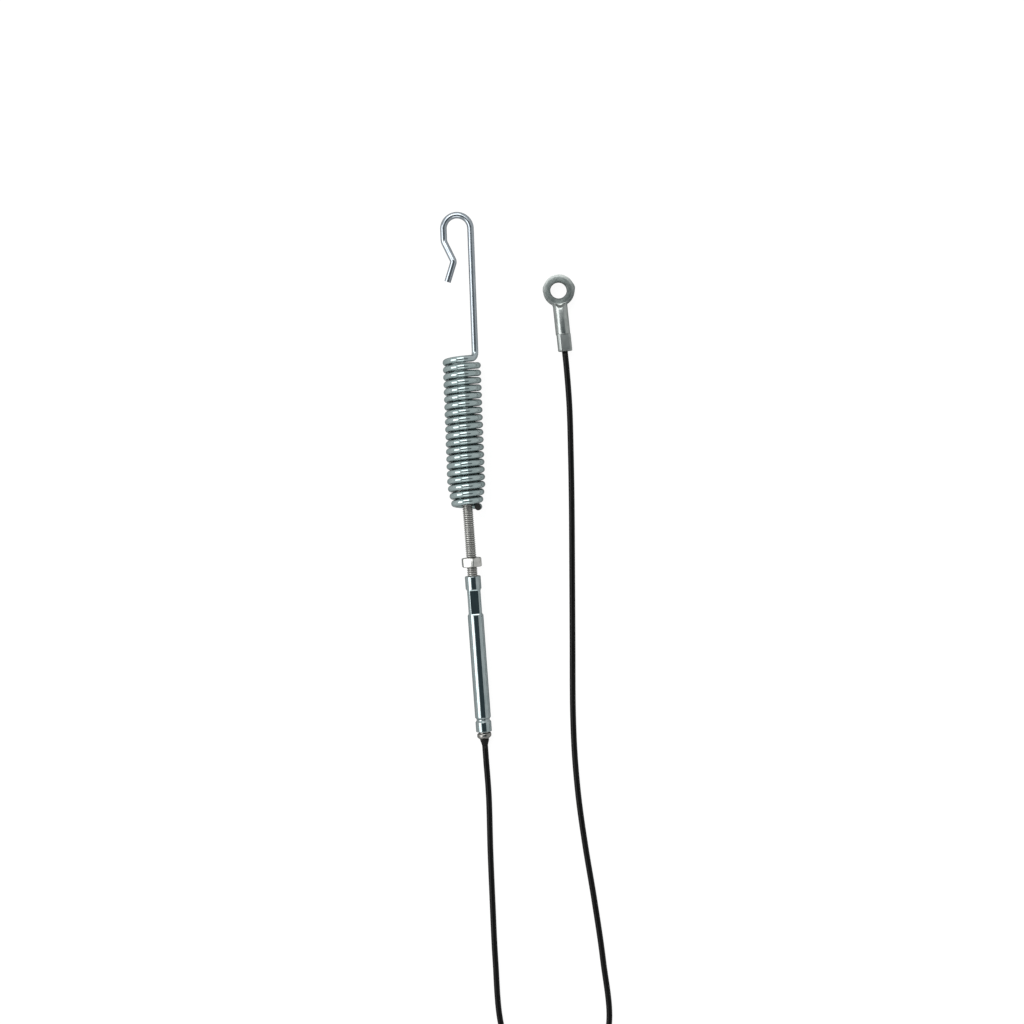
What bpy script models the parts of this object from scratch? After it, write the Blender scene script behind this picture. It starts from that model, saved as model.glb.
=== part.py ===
"""Implement control cable with a spring hook, a screw adjuster, a coated rope and an eye terminal.

The cable lies on a flat surface at z 0, with the spring along Y and its hook towards +Y.
The origin is under the middle of the hook, spring and adjuster.
"""
import math

import bmesh
import bpy
from mathutils import Matrix, Vector

# Clearance between pieces that touch
FIT_GAP = 0.0003

# Spring wire, its close turns and the turns that cone down around the adjuster head
WIRE_RADIUS = 0.00198
COIL_RADIUS = 0.0095
COIL_PITCH = 0.00446
COIL_TURNS = 20
CONE_TURNS = 3
HEAD_CATCH = 0.00045
COIL_END_Y = -0.0189
COIL_END_ANGLE = math.radians(67.5)
COIL_STEPS_PER_TURN = 16
WIRE_BEVEL_STEPS = 2

# Hook: the shank leaves the last turn, runs over a half circle and ends in an outturned tip
SHANK_ANGLE = math.radians(61.5)
SHANK_BEND_RADIUS = 0.0040
SHANK_LENGTH = 0.0782
HOOK_RADIUS = 0.00813
HOOK_ARC_STEPS = 12
HOOK_LEG_LENGTH = 0.0074
HOOK_LEG_BEND_RADIUS = 0.0060
THROAT_LENGTH = 0.01355
THROAT_ANGLE = math.radians(24)
TIP_LENGTH = 0.0126
TIP_ANGLE = math.radians(19.5)
TIP_BEND_RADIUS = 0.0026

# Quarter inch screw, drawn with a plain thread at its effective diameter
THREAD_RADIUS = 0.00295
STUD_LENGTH = 0.0762
STUD_TIP_CHAMFER = 0.0006
HEX_ACROSS_FLATS = 0.01111
HEAD_HEIGHT = 0.0040
NUT_HEIGHT = 0.00556
NUT_TURN = math.radians(-19)
HEX_FACE_SHARE = 0.97
HEX_CHAMFER_ANGLE = math.radians(30)
HEX_CHAMFER_SIDES = 24
THREAD_MOUTH = 0.0006

# Barrel, with its flats measured down from its top and its groove up from its end
BARREL_RADIUS = 0.00476
BARREL_LENGTH = 0.0943
BARREL_TOP_DEPTH = 0.0504
BARREL_EDGE = 0.0005
BARREL_WALL = 0.00126
THREAD_DEPTH = 0.0250
FLATS_TOP = 0.0076
FLATS_LENGTH = 0.0161
FLATS_DEPTH = 0.00072
FLATS_RUNOUT_RADIUS = 0.0016
FLATS_TURN = math.radians(2)
GROOVE_ABOVE_END = 0.0073
GROOVE_DEPTH = 0.00080
GROOVE_HALF_WIDTH = 0.0018
GROOVE_FLOOR_HALF_WIDTH = 0.0004
GROOVE_SHOULDER = 0.0008
GROOVE_CORNER = 0.0005
TAIL_ROUNDING = 0.0011
NUT_GAP = 0.0055

# Ferrule swaged on the rope, whose neck turns in the rolled groove
FERRULE_HEAD_LENGTH = 0.0090
FERRULE_EDGE = 0.0004
FLANGE_RADIUS = 0.0043
FLANGE_GAP = 0.0008
FLANGE_THICKNESS = 0.0034
FLANGE_ROUNDING = 0.0013

# Seal, jacket and rope
JACKET_RADIUS = 0.0018
ROPE_RADIUS = 0.0010
JACKET_CLEARANCE = 0.00025
SEAL_LENGTH = 0.0034
SEAL_TOP_RADIUS = 0.0027
SEAL_LAND = 0.0007
SEAL_SHOULDER = 0.0010
SEAL_EDGE = 0.0003
ROPE_END_INSET = 0.0010

# Eye terminal, measured from the middle of its eye along its sleeve
TERMINAL_X = 0.0599
TERMINAL_Y = 0.1099
TERMINAL_LEAN = math.radians(3.8)
EYE_HOLE_RADIUS = 0.00495
EYE_RIM = 0.00465
EYE_THICKNESS = 0.0042
EYE_EDGE = 0.0006
SLEEVE_RADIUS = 0.0044
SLEEVE_FROM_HOLE = 0.0029
SLEEVE_LENGTH = 0.0289
SLEEVE_SHOULDER = 0.0018
SLEEVE_EDGE = 0.0003
CRIMP_LENGTH = 0.0102
CRIMP_DEPTH = 0.0003
CRIMP_TURN = math.radians(22)
ROPE_SOCKET_DEPTH = 0.0220

ADJUSTER_LEAN = math.radians(1.95)

# Free cable: straight run out of each fitting, then points of (x, y, rise above its resting height)
CABLE_STRAIGHT_RUN = 0.0090
CABLE_SPACING = 0.0087
CABLE_ROUTE = [
    (0.0063, -0.1937, 0.0011),
    (0.0060, -0.2265, 0.0002),
    (0.0061, -0.2568, 0.0),
    (0.0065, -0.2931, 0.0),
    (0.0084, -0.3319, 0.0),
    (0.0159, -0.3576, 0.0),
    (0.0305, -0.3719, 0.0),
    (0.0492, -0.3726, 0.0),
    (0.0649, -0.3596, 0.0),
    (0.0737, -0.3345, 0.0),
    (0.0716, -0.2956, 0.0),
    (0.0677, -0.2591, 0.0),
    (0.0638, -0.2287, 0.0),
    (0.0611, -0.2038, 0.0),
    (0.0599, -0.1875, 0.0),
    (0.0591, -0.1680, 0.0),
    (0.0591, -0.1438, 0.0),
    (0.0605, -0.1002, 0.0),
    (0.0616, -0.0664, 0.0),
    (0.0631, -0.0181, 0.0),
    (0.0637, 0.0110, 0.0001),
    (0.0639, 0.0401, 0.0011),
]

AXIS_HEIGHT = COIL_RADIUS + WIRE_RADIUS
CONE_END_RADIUS = HEX_ACROSS_FLATS / 2 - HEAD_CATCH + WIRE_RADIUS
HEX_CORNER_RADIUS = HEX_ACROSS_FLATS / math.sqrt(3)
THREAD_BORE_RADIUS = THREAD_RADIUS + FIT_GAP
BARREL_BORE_RADIUS = BARREL_RADIUS - BARREL_WALL
ROPE_BORE_RADIUS = ROPE_RADIUS + FIT_GAP
EYE_RADIUS = EYE_HOLE_RADIUS + EYE_RIM
SLEEVE_START = EYE_HOLE_RADIUS + SLEEVE_FROM_HOLE
SLEEVE_END = SLEEVE_START + SLEEVE_LENGTH


def remove_scene_objects():
    """Empties the scene of everything that a new file starts with."""
    for old in list(bpy.data.objects):
        bpy.data.objects.remove(old, do_unlink=True)


def make_collection(name):
    """Returns a new collection under the scene."""
    collection = bpy.data.collections.new(name)
    bpy.context.scene.collection.children.link(collection)
    return collection


def make_material(name, colour, metallic, roughness):
    """Returns a Principled material of one colour."""
    material = bpy.data.materials.new(name)
    material.use_nodes = True
    shader = material.node_tree.nodes["Principled BSDF"]
    shader.inputs["Base Color"].default_value = (*colour, 1.0)
    shader.inputs["Metallic"].default_value = metallic
    shader.inputs["Roughness"].default_value = roughness
    material.diffuse_color = (*colour, 1.0)
    return material


def add_object(name, data, collection, parent=None, material=None):
    """Links a new object for mesh or curve data."""
    new = bpy.data.objects.new(name, data)
    collection.objects.link(new)
    new.parent = parent
    if material:
        data.materials.append(material)
    return new


def axis_frame(name, origin, lean, droop, collection):
    """Adds an empty whose Z runs back along a piece's axis, with X level and Y downwards.

    The axis runs towards -Y, leans to +X by lean and falls by droop.
    """
    back = Vector((
        -math.sin(lean) * math.cos(droop),
        math.cos(lean) * math.cos(droop),
        math.sin(droop),
    ))
    level = Vector((math.cos(lean), math.sin(lean), 0.0))
    down = back.cross(level)
    turn = Matrix((level, down, back)).transposed().to_4x4()
    empty = bpy.data.objects.new(name, None)
    collection.objects.link(empty)
    empty.matrix_world = Matrix.Translation(origin) @ turn
    return empty


def filleted(corners, steps=4):
    """Returns points along straight runs whose corners are rounded by each corner's own radius."""
    points = [Vector(corners[0][0])]
    for before, here, after in zip(corners, corners[1:], corners[2:]):
        corner, radius = Vector(here[0]), here[1]
        if radius == 0.0:
            points.append(corner)
            continue
        back = (Vector(before[0]) - corner).normalized()
        ahead = (Vector(after[0]) - corner).normalized()
        half = back.angle(ahead) / 2
        centre = corner + (back + ahead).normalized() * radius / math.sin(half)
        start = corner + back * radius / math.tan(half) - centre
        end = corner + ahead * radius / math.tan(half) - centre
        for step in range(steps + 1):
            points.append(centre + start.slerp(end, step / steps).normalized() * radius)
    points.append(Vector(corners[-1][0]))
    return points


def outline(corners, steps=4):
    """Returns a rounded outline in the XZ plane from (radius, height, fillet) corners."""
    return filleted([((radius, 0.0, height), fillet) for radius, height, fillet in corners], steps)


def turned(name, points, collection, parent, material=None, sides=32, closed=False):
    """Turns an outline around Z, running down its outer side from top to bottom."""
    mesh = bpy.data.meshes.new(name)
    edges = [(i, i + 1) for i in range(len(points) - 1)]
    if closed:
        edges.append((len(points) - 1, 0))
    mesh.from_pydata([tuple(point) for point in points], edges, [])
    new = add_object(name, mesh, collection, parent, material)
    screw = new.modifiers.new("turn", "SCREW")
    screw.steps = sides
    screw.render_steps = sides
    screw.use_merge_vertices = True
    screw.merge_threshold = 0.00001
    return new


def prism(name, sides, corner_radius, top, bottom, collection, parent, material=None):
    """Makes an upright prism between two heights, with a corner on +X."""
    mesh = bpy.data.meshes.new(name)
    shape = bmesh.new()
    bmesh.ops.create_cone(
        shape,
        cap_ends=True,
        segments=sides,
        radius1=corner_radius,
        radius2=corner_radius,
        depth=top - bottom,
        matrix=Matrix.Translation((0.0, 0.0, (top + bottom) / 2)),
    )
    bmesh.ops.rotate(shape, verts=shape.verts, matrix=Matrix.Rotation(math.pi / 2, 3, "Z"))
    shape.to_mesh(mesh)
    shape.free()
    return add_object(name, mesh, collection, parent, material)


def as_cutter(cutter):
    """Marks an object as a guide that isn't part of the cable."""
    cutter.hide_render = True
    cutter.display_type = "WIRE"
    return cutter


def combine(target, tool, operation):
    """Joins a tool to a target, cuts it away, or keeps what both share."""
    boolean = target.modifiers.new(tool.name, "BOOLEAN")
    boolean.object = as_cutter(tool)
    boolean.operation = operation
    boolean.solver = "EXACT"


def shade(piece):
    """Shades round faces smooth and keeps edges sharp."""
    piece.data.shade_smooth()
    if isinstance(piece.data, bpy.types.Mesh):
        piece.data.set_sharp_from_angle(angle=math.radians(35))


def wire_curve(name, points, radius, sides_setting, collection, parent=None, material=None):
    """Draws a round wire with filled ends through points."""
    curve = bpy.data.curves.new(name, "CURVE")
    curve.dimensions = "3D"
    curve.bevel_depth = radius
    curve.bevel_resolution = sides_setting
    curve.use_fill_caps = True
    spline = curve.splines.new("POLY")
    spline.points.add(len(points) - 1)
    for target, point in zip(spline.points, points):
        target.co = (*point, 1.0)
    return add_object(name, curve, collection, parent, material)


def coil_end_height():
    """Height of the wire's middle where the turns end and the shank starts."""
    return COIL_END_Y + COIL_TURNS * COIL_PITCH


def coil_radius_at(turn):
    """Radius of the wire's middle, counted in turns from the cut end."""
    share = min(turn / CONE_TURNS, 1.0)
    return CONE_END_RADIUS + (COIL_RADIUS - CONE_END_RADIUS) * share


def on_coil(angle, radius, along):
    """Point on the coil's cylinder, with angle 0 on top and growing towards +X."""
    return Vector((radius * math.sin(angle), along, AXIS_HEIGHT + radius * math.cos(angle)))


def hook_wire_points():
    """Follows the wire from the cut end of the cone to the tip of the hook."""
    shank_turns = COIL_TURNS + (SHANK_ANGLE - COIL_END_ANGLE) / math.tau
    round_turns = shank_turns - SHANK_BEND_RADIUS / COIL_RADIUS / math.tau
    arc_y = coil_end_height() + SHANK_LENGTH
    points = []
    for step in range(int(round_turns * COIL_STEPS_PER_TURN) + 1):
        turn = step / COIL_STEPS_PER_TURN
        angle = COIL_END_ANGLE + turn * math.tau
        points.append(on_coil(angle, coil_radius_at(turn), COIL_END_Y + turn * COIL_PITCH))

    # The bend up to the shank, laid out flat as arc length and height and rolled on the cylinder
    shank_run = shank_turns * math.tau * COIL_RADIUS
    flat_bend = filleted([
        ((turn * math.tau * COIL_RADIUS, COIL_END_Y + turn * COIL_PITCH, 0.0), 0.0),
        ((shank_run, COIL_END_Y + shank_turns * COIL_PITCH, 0.0), SHANK_BEND_RADIUS),
        ((shank_run, arc_y, 0.0), 0.0),
    ])
    for place in flat_bend[1:-1]:
        points.append(on_coil(COIL_END_ANGLE + place.x / COIL_RADIUS, COIL_RADIUS, place.y))

    # The hook lies over the coil's axis, so the shank leans back to that height
    shank_x = COIL_RADIUS * math.sin(SHANK_ANGLE)
    arc_x = shank_x - HOOK_RADIUS
    for step in range(HOOK_ARC_STEPS + 1):
        angle = math.pi * step / HOOK_ARC_STEPS
        points.append(Vector((
            arc_x + HOOK_RADIUS * math.cos(angle),
            arc_y + HOOK_RADIUS * math.sin(angle),
            AXIS_HEIGHT,
        )))
    leg_end = Vector((arc_x - HOOK_RADIUS, arc_y - HOOK_LEG_LENGTH, AXIS_HEIGHT))
    throat_way = Vector((math.sin(THROAT_ANGLE), -math.cos(THROAT_ANGLE), 0.0))
    throat = leg_end + throat_way * THROAT_LENGTH
    tip_way = Vector((-math.sin(TIP_ANGLE), -math.cos(TIP_ANGLE), 0.0))
    tip = throat + tip_way * TIP_LENGTH
    points.extend(filleted([
        (points[-1], 0.0),
        (leg_end, HOOK_LEG_BEND_RADIUS),
        (throat, TIP_BEND_RADIUS),
        (tip, 0.0),
    ])[1:])
    return points


def head_seat_above_end():
    """How far above the wire's cut end the screw's head sits in the narrowing turns."""
    slope = math.atan2(COIL_RADIUS - CONE_END_RADIUS, CONE_TURNS * COIL_PITCH)
    seat_radius = HEX_CORNER_RADIUS + FIT_GAP + WIRE_RADIUS / math.cos(slope)
    turns = CONE_TURNS * (seat_radius - CONE_END_RADIUS) / (COIL_RADIUS - CONE_END_RADIUS)
    return turns * COIL_PITCH


def adjuster_droop():
    """Fall of the adjuster's axis that lets the barrel's lower end lie on the surface."""
    contact = BARREL_TOP_DEPTH + BARREL_LENGTH - TAIL_ROUNDING
    reach = math.hypot(contact, BARREL_RADIUS)
    return math.asin(AXIS_HEIGHT / reach) - math.atan2(BARREL_RADIUS, contact)


def hook_spring(collection, material):
    """One length of wire, coiled, coned and bent into its own hook."""
    return wire_curve(
        "hook_spring", hook_wire_points(), WIRE_RADIUS, WIRE_BEVEL_STEPS, collection,
        material=material,
    )


def hex_chamfer(name, top, bottom, both_ends, guides, parent):
    """Guide that takes the corners off one or both ends of a hexagon."""
    face = HEX_ACROSS_FLATS / 2 * HEX_FACE_SHARE
    drop = (HEX_CORNER_RADIUS - face) * math.tan(HEX_CHAMFER_ANGLE)
    rim = HEX_CORNER_RADIUS + FIT_GAP
    corners = [
        (0.0, top + FIT_GAP, 0.0),
        (face - FIT_GAP / math.tan(HEX_CHAMFER_ANGLE), top + FIT_GAP, 0.0),
        (rim, top - drop - FIT_GAP * math.tan(HEX_CHAMFER_ANGLE), 0.0),
    ]
    if both_ends:
        corners.extend((radius, top + bottom - height, 0.0) for radius, height, _ in corners[::-1])
    else:
        corners.extend([(rim, bottom - FIT_GAP, 0.0), (0.0, bottom - FIT_GAP, 0.0)])
    return turned(name, outline(corners), guides, parent, sides=HEX_CHAMFER_SIDES)


def adjuster_stud(collection, guides, parent, material):
    """Hex head screw, with the underside of its head at the axis frame's origin."""
    stud = prism(
        "adjuster_stud", 6, HEX_CORNER_RADIUS, HEAD_HEIGHT, 0.0, collection, parent, material
    )
    combine(stud, hex_chamfer("head_corners", HEAD_HEIGHT, 0.0, False, guides, parent), "INTERSECT")
    shank = turned("shank_form", outline([
        (0.0, HEAD_HEIGHT / 2, 0.0),
        (THREAD_RADIUS, HEAD_HEIGHT / 2, 0.0),
        (THREAD_RADIUS, STUD_TIP_CHAMFER - STUD_LENGTH, 0.0),
        (THREAD_RADIUS - STUD_TIP_CHAMFER, -STUD_LENGTH, 0.0),
        (0.0, -STUD_LENGTH, 0.0),
    ]), guides, parent, sides=24)
    combine(stud, shank, "UNION")
    shade(stud)
    return stud


def jam_nut(collection, guides, parent, material):
    """Hex nut a little above the barrel."""
    bottom = NUT_GAP - BARREL_TOP_DEPTH
    top = bottom + NUT_HEIGHT
    nut = prism("jam_nut", 6, HEX_CORNER_RADIUS, top, bottom, collection, parent, material)
    nut.rotation_euler.z = NUT_TURN
    combine(nut, hex_chamfer("nut_corners", top, bottom, True, guides, parent), "INTERSECT")
    mouth = THREAD_BORE_RADIUS + 2 * THREAD_MOUTH
    bore = turned("nut_bore", outline([
        (0.0, top + THREAD_MOUTH, 0.0),
        (mouth, top + THREAD_MOUTH, 0.0),
        (THREAD_BORE_RADIUS, top - THREAD_MOUTH, 0.0),
        (THREAD_BORE_RADIUS, bottom + THREAD_MOUTH, 0.0),
        (mouth, bottom - THREAD_MOUTH, 0.0),
        (0.0, bottom - THREAD_MOUTH, 0.0),
    ]), guides, parent, sides=24)
    combine(nut, bore, "DIFFERENCE")
    shade(nut)
    return nut


def flat_cutter(name, turn, guides, parent):
    """Guide that mills one flat, with a curved run-out at each end."""
    floor = BARREL_RADIUS - FLATS_DEPTH
    outer = BARREL_RADIUS + FLATS_RUNOUT_RADIUS
    run = outer - floor
    top = -FLATS_TOP - BARREL_TOP_DEPTH
    bottom = top - FLATS_LENGTH
    side = filleted([
        ((outer, 0.0, top + run - FLATS_DEPTH), 0.0),
        ((floor, 0.0, top - FLATS_DEPTH), FLATS_RUNOUT_RADIUS),
        ((floor, 0.0, bottom + FLATS_DEPTH), FLATS_RUNOUT_RADIUS),
        ((outer, 0.0, bottom - run + FLATS_DEPTH), 0.0),
    ])
    mesh = bpy.data.meshes.new(name)
    shape = bmesh.new()
    near = shape.faces.new([shape.verts.new(point - Vector((0.0, outer, 0.0))) for point in side])
    swept = bmesh.ops.extrude_face_region(shape, geom=[near])
    far = [item for item in swept["geom"] if isinstance(item, bmesh.types.BMVert)]
    bmesh.ops.translate(shape, verts=far, vec=(0.0, 2 * outer, 0.0))
    bmesh.ops.recalc_face_normals(shape, faces=shape.faces)
    shape.to_mesh(mesh)
    shape.free()
    cutter = add_object(name, mesh, guides, parent)
    cutter.rotation_euler.z = turn
    return cutter


def groove_height():
    """Height of the rolled groove's middle on the adjuster's axis."""
    return GROOVE_ABOVE_END - BARREL_LENGTH - BARREL_TOP_DEPTH


def barrel_outline():
    """Closed section of the barrel, down its outer side and back up its bores."""
    top = -BARREL_TOP_DEPTH
    groove = groove_height()
    end = top - BARREL_LENGTH
    inner_groove = BARREL_BORE_RADIUS - GROOVE_DEPTH
    corners = [
        (THREAD_BORE_RADIUS + THREAD_MOUTH, top, 0.0),
        (BARREL_RADIUS, top, BARREL_EDGE),
        (BARREL_RADIUS, groove + GROOVE_HALF_WIDTH, GROOVE_SHOULDER),
        (BARREL_RADIUS - GROOVE_DEPTH, groove + GROOVE_FLOOR_HALF_WIDTH, GROOVE_CORNER),
        (BARREL_RADIUS - GROOVE_DEPTH, groove - GROOVE_FLOOR_HALF_WIDTH, GROOVE_CORNER),
        (BARREL_RADIUS, groove - GROOVE_HALF_WIDTH, GROOVE_SHOULDER),
        (BARREL_RADIUS, end, TAIL_ROUNDING),
        (BARREL_BORE_RADIUS, end, 0.0),
        (BARREL_BORE_RADIUS, groove - GROOVE_HALF_WIDTH, 0.0),
        (inner_groove, groove - GROOVE_FLOOR_HALF_WIDTH, 0.0),
        (inner_groove, groove + GROOVE_FLOOR_HALF_WIDTH, 0.0),
        (BARREL_BORE_RADIUS, groove + GROOVE_HALF_WIDTH, 0.0),
        (BARREL_BORE_RADIUS, top - THREAD_DEPTH, 0.0),
        (THREAD_BORE_RADIUS, top - THREAD_DEPTH + THREAD_MOUTH, 0.0),
        (THREAD_BORE_RADIUS, top - THREAD_MOUTH, 0.0),
    ]
    return outline(corners, 2)


def adjuster_barrel(collection, guides, parent, material):
    """Turned barrel with a tapped top, four wrench flats and a groove rolled on the ferrule."""
    barrel = turned("adjuster_barrel", barrel_outline(), collection, parent, material, closed=True)
    for side in range(4):
        turn = FLATS_TURN + side * math.pi / 2
        combine(barrel, flat_cutter(f"flat_{side + 1}", turn, guides, parent), "DIFFERENCE")
    shade(barrel)
    return barrel


def flange_bottom():
    """Height of the flange's lower face on the adjuster's axis."""
    return -BARREL_TOP_DEPTH - BARREL_LENGTH - FLANGE_GAP - FLANGE_THICKNESS


def ferrule_top():
    """Height of the ferrule's head on the adjuster's axis."""
    return groove_height() + GROOVE_HALF_WIDTH + FIT_GAP + FERRULE_HEAD_LENGTH


def swivel_ferrule(collection, parent, material):
    """Swaged ferrule: a head and neck held by the rolled groove, and a flange outside."""
    groove = groove_height()
    body = BARREL_BORE_RADIUS - FIT_GAP
    neck = body - GROOVE_DEPTH
    below = groove - GROOVE_HALF_WIDTH - FIT_GAP
    bottom = flange_bottom()
    points = outline([
        (ROPE_BORE_RADIUS, ferrule_top(), 0.0),
        (body, ferrule_top(), FERRULE_EDGE),
        (body, groove + GROOVE_HALF_WIDTH + FIT_GAP, 0.0),
        (neck, groove + GROOVE_FLOOR_HALF_WIDTH, 0.0),
        (neck, groove - GROOVE_FLOOR_HALF_WIDTH, 0.0),
        (body, below, 0.0),
        (body, bottom + FLANGE_THICKNESS, 0.0),
        (FLANGE_RADIUS, bottom + FLANGE_THICKNESS, FERRULE_EDGE),
        (FLANGE_RADIUS, bottom, FLANGE_ROUNDING),
        (ROPE_BORE_RADIUS, bottom, 0.0),
    ], 3)
    ferrule = turned("swivel_ferrule", points, collection, parent, material, sides=24, closed=True)
    shade(ferrule)
    return ferrule


def seal_bottom():
    """Height of the seal's small end, where the jacket starts."""
    return flange_bottom() - FIT_GAP - SEAL_LENGTH


def cable_seal(collection, parent, material):
    """Short taper around the rope, between the ferrule and the jacket."""
    top = flange_bottom() - FIT_GAP
    points = outline([
        (ROPE_BORE_RADIUS, top, 0.0),
        (SEAL_TOP_RADIUS, top, SEAL_EDGE),
        (SEAL_TOP_RADIUS, top - SEAL_LAND, SEAL_SHOULDER),
        (JACKET_RADIUS, seal_bottom(), 0.0),
        (ROPE_BORE_RADIUS, seal_bottom(), 0.0),
    ], 3)
    seal = turned("cable_seal", points, collection, parent, material, sides=16, closed=True)
    shade(seal)
    return seal


def crimp_jaw(name, turn, guides, parent):
    """Guide that presses one face of the crimp on the sleeve."""
    reach = SLEEVE_RADIUS
    bottom = -SLEEVE_END - reach
    top = -SLEEVE_END + CRIMP_LENGTH
    mesh = bpy.data.meshes.new(name)
    shape = bmesh.new()
    middle = (SLEEVE_RADIUS - CRIMP_DEPTH + reach / 2, 0.0, (top + bottom) / 2)
    size = Matrix.Diagonal((reach, 2 * reach, top - bottom, 1.0))
    bmesh.ops.create_cube(shape, size=1.0, matrix=Matrix.Translation(middle) @ size)
    shape.to_mesh(mesh)
    shape.free()
    jaw = add_object(name, mesh, guides, parent)
    jaw.rotation_euler.z = turn
    return jaw


def eye_terminal(collection, guides, parent, material):
    """Forged eye and crimped sleeve in one piece."""
    half = EYE_THICKNESS / 2
    eye = turned("eye_terminal", outline([
        (0.0, half, 0.0),
        (EYE_RADIUS - EYE_EDGE, half, 0.0),
        (EYE_RADIUS, half - EYE_EDGE, 0.0),
        (EYE_RADIUS, EYE_EDGE - half, 0.0),
        (EYE_RADIUS - EYE_EDGE, -half, 0.0),
        (0.0, -half, 0.0),
    ]), collection, parent, material, sides=40)
    eye.rotation_euler.x = math.pi / 2
    sleeve = turned("sleeve_form", outline([
        (0.0, -SLEEVE_START, 0.0),
        (SLEEVE_RADIUS, -SLEEVE_START, SLEEVE_SHOULDER),
        (SLEEVE_RADIUS, -SLEEVE_END, SLEEVE_EDGE),
        (0.0, -SLEEVE_END, 0.0),
    ]), guides, parent, sides=32)
    combine(eye, sleeve, "UNION")
    hole = prism("eye_hole", 32, EYE_HOLE_RADIUS, EYE_THICKNESS, -EYE_THICKNESS, guides, parent)
    hole.rotation_euler.x = math.pi / 2
    combine(eye, hole, "DIFFERENCE")
    for side in range(6):
        turn = CRIMP_TURN + math.pi / 2 + side * math.pi / 3
        combine(eye, crimp_jaw(f"crimp_{side + 1}", turn, guides, parent), "DIFFERENCE")
    socket_bottom = -SLEEVE_END - SLEEVE_RADIUS
    socket = prism(
        "rope_socket", 16, ROPE_BORE_RADIUS, ROPE_SOCKET_DEPTH - SLEEVE_END, socket_bottom,
        guides, parent,
    )
    combine(eye, socket, "DIFFERENCE")
    shade(eye)
    return eye


def curve_point(knots, times, now):
    """Point of the smooth curve between the two middle knots of four, by repeated blends."""
    first = [
        knots[i].lerp(knots[i + 1], (now - times[i]) / (times[i + 1] - times[i])) for i in range(3)
    ]
    second = [
        first[i].lerp(first[i + 1], (now - times[i]) / (times[i + 2] - times[i])) for i in range(2)
    ]
    return second[0].lerp(second[1], (now - times[1]) / (times[2] - times[1]))


def smooth_route(knots, spacing, steps=24):
    """Reads evenly spaced points from a smooth curve through the knots, whose ends guide it."""
    fine = []
    for four in zip(knots, knots[1:], knots[2:], knots[3:]):
        times = [0.0]
        for first, second in zip(four, four[1:]):
            times.append(times[-1] + math.sqrt((second - first).length))
        for step in range(steps):
            fine.append(curve_point(four, times, times[1] + (times[2] - times[1]) * step / steps))
    fine.append(knots[-2])
    lengths = [0.0]
    for first, second in zip(fine, fine[1:]):
        lengths.append(lengths[-1] + (second - first).length)
    count = round(lengths[-1] / spacing)
    route = []
    place = 0
    for step in range(count + 1):
        wanted = lengths[-1] * step / count
        while place < len(fine) - 2 and lengths[place + 1] < wanted:
            place += 1
        share = (wanted - lengths[place]) / (lengths[place + 1] - lengths[place])
        route.append(fine[place].lerp(fine[place + 1], share))
    return route


def cable_path(adjuster, terminal):
    """Middle of the free cable, from the seal to the sleeve of the eye terminal."""
    start = seal_bottom() - FIT_GAP
    end = -SLEEVE_END - FIT_GAP
    knots = [
        adjuster @ Vector((0.0, 0.0, flange_bottom())),
        adjuster @ Vector((0.0, 0.0, start)),
        adjuster @ Vector((0.0, 0.0, start - CABLE_STRAIGHT_RUN)),
    ]
    knots.extend(Vector((x, y, JACKET_RADIUS + rise)) for x, y, rise in CABLE_ROUTE)
    knots.extend([
        terminal @ Vector((0.0, 0.0, end - CABLE_STRAIGHT_RUN)),
        terminal @ Vector((0.0, 0.0, end)),
        terminal @ Vector((0.0, 0.0, ROPE_SOCKET_DEPTH - SLEEVE_END)),
    ])
    route = smooth_route(knots, CABLE_SPACING)
    for point in route:
        point.z = max(point.z, JACKET_RADIUS)
    return route


def cable_jacket(route, collection, material):
    """Hollow coating of the rope."""
    tube = wire_curve("jacket_form", route, JACKET_RADIUS, WIRE_BEVEL_STEPS, collection)
    tube.data.use_fill_caps = False
    depsgraph = bpy.context.evaluated_depsgraph_get()
    mesh = bpy.data.meshes.new_from_object(tube.evaluated_get(depsgraph))
    bpy.data.objects.remove(tube, do_unlink=True)
    jacket = add_object("cable_jacket", mesh, collection, material=material)
    wall = jacket.modifiers.new("wall", "SOLIDIFY")
    wall.thickness = JACKET_RADIUS - ROPE_RADIUS - JACKET_CLEARANCE
    wall.offset = -1.0
    wall.use_even_offset = True
    shade(jacket)
    return jacket


def wire_rope(route, adjuster, terminal, collection, material):
    """Steel rope from inside the ferrule to inside the sleeve."""
    start = adjuster @ Vector((0.0, 0.0, ferrule_top() - ROPE_END_INSET))
    end = terminal @ Vector((0.0, 0.0, ROPE_SOCKET_DEPTH - ROPE_END_INSET - SLEEVE_END))
    return wire_curve(
        "wire_rope", [start, *route, end], ROPE_RADIUS, WIRE_BEVEL_STEPS, collection,
        material=material,
    )


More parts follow.
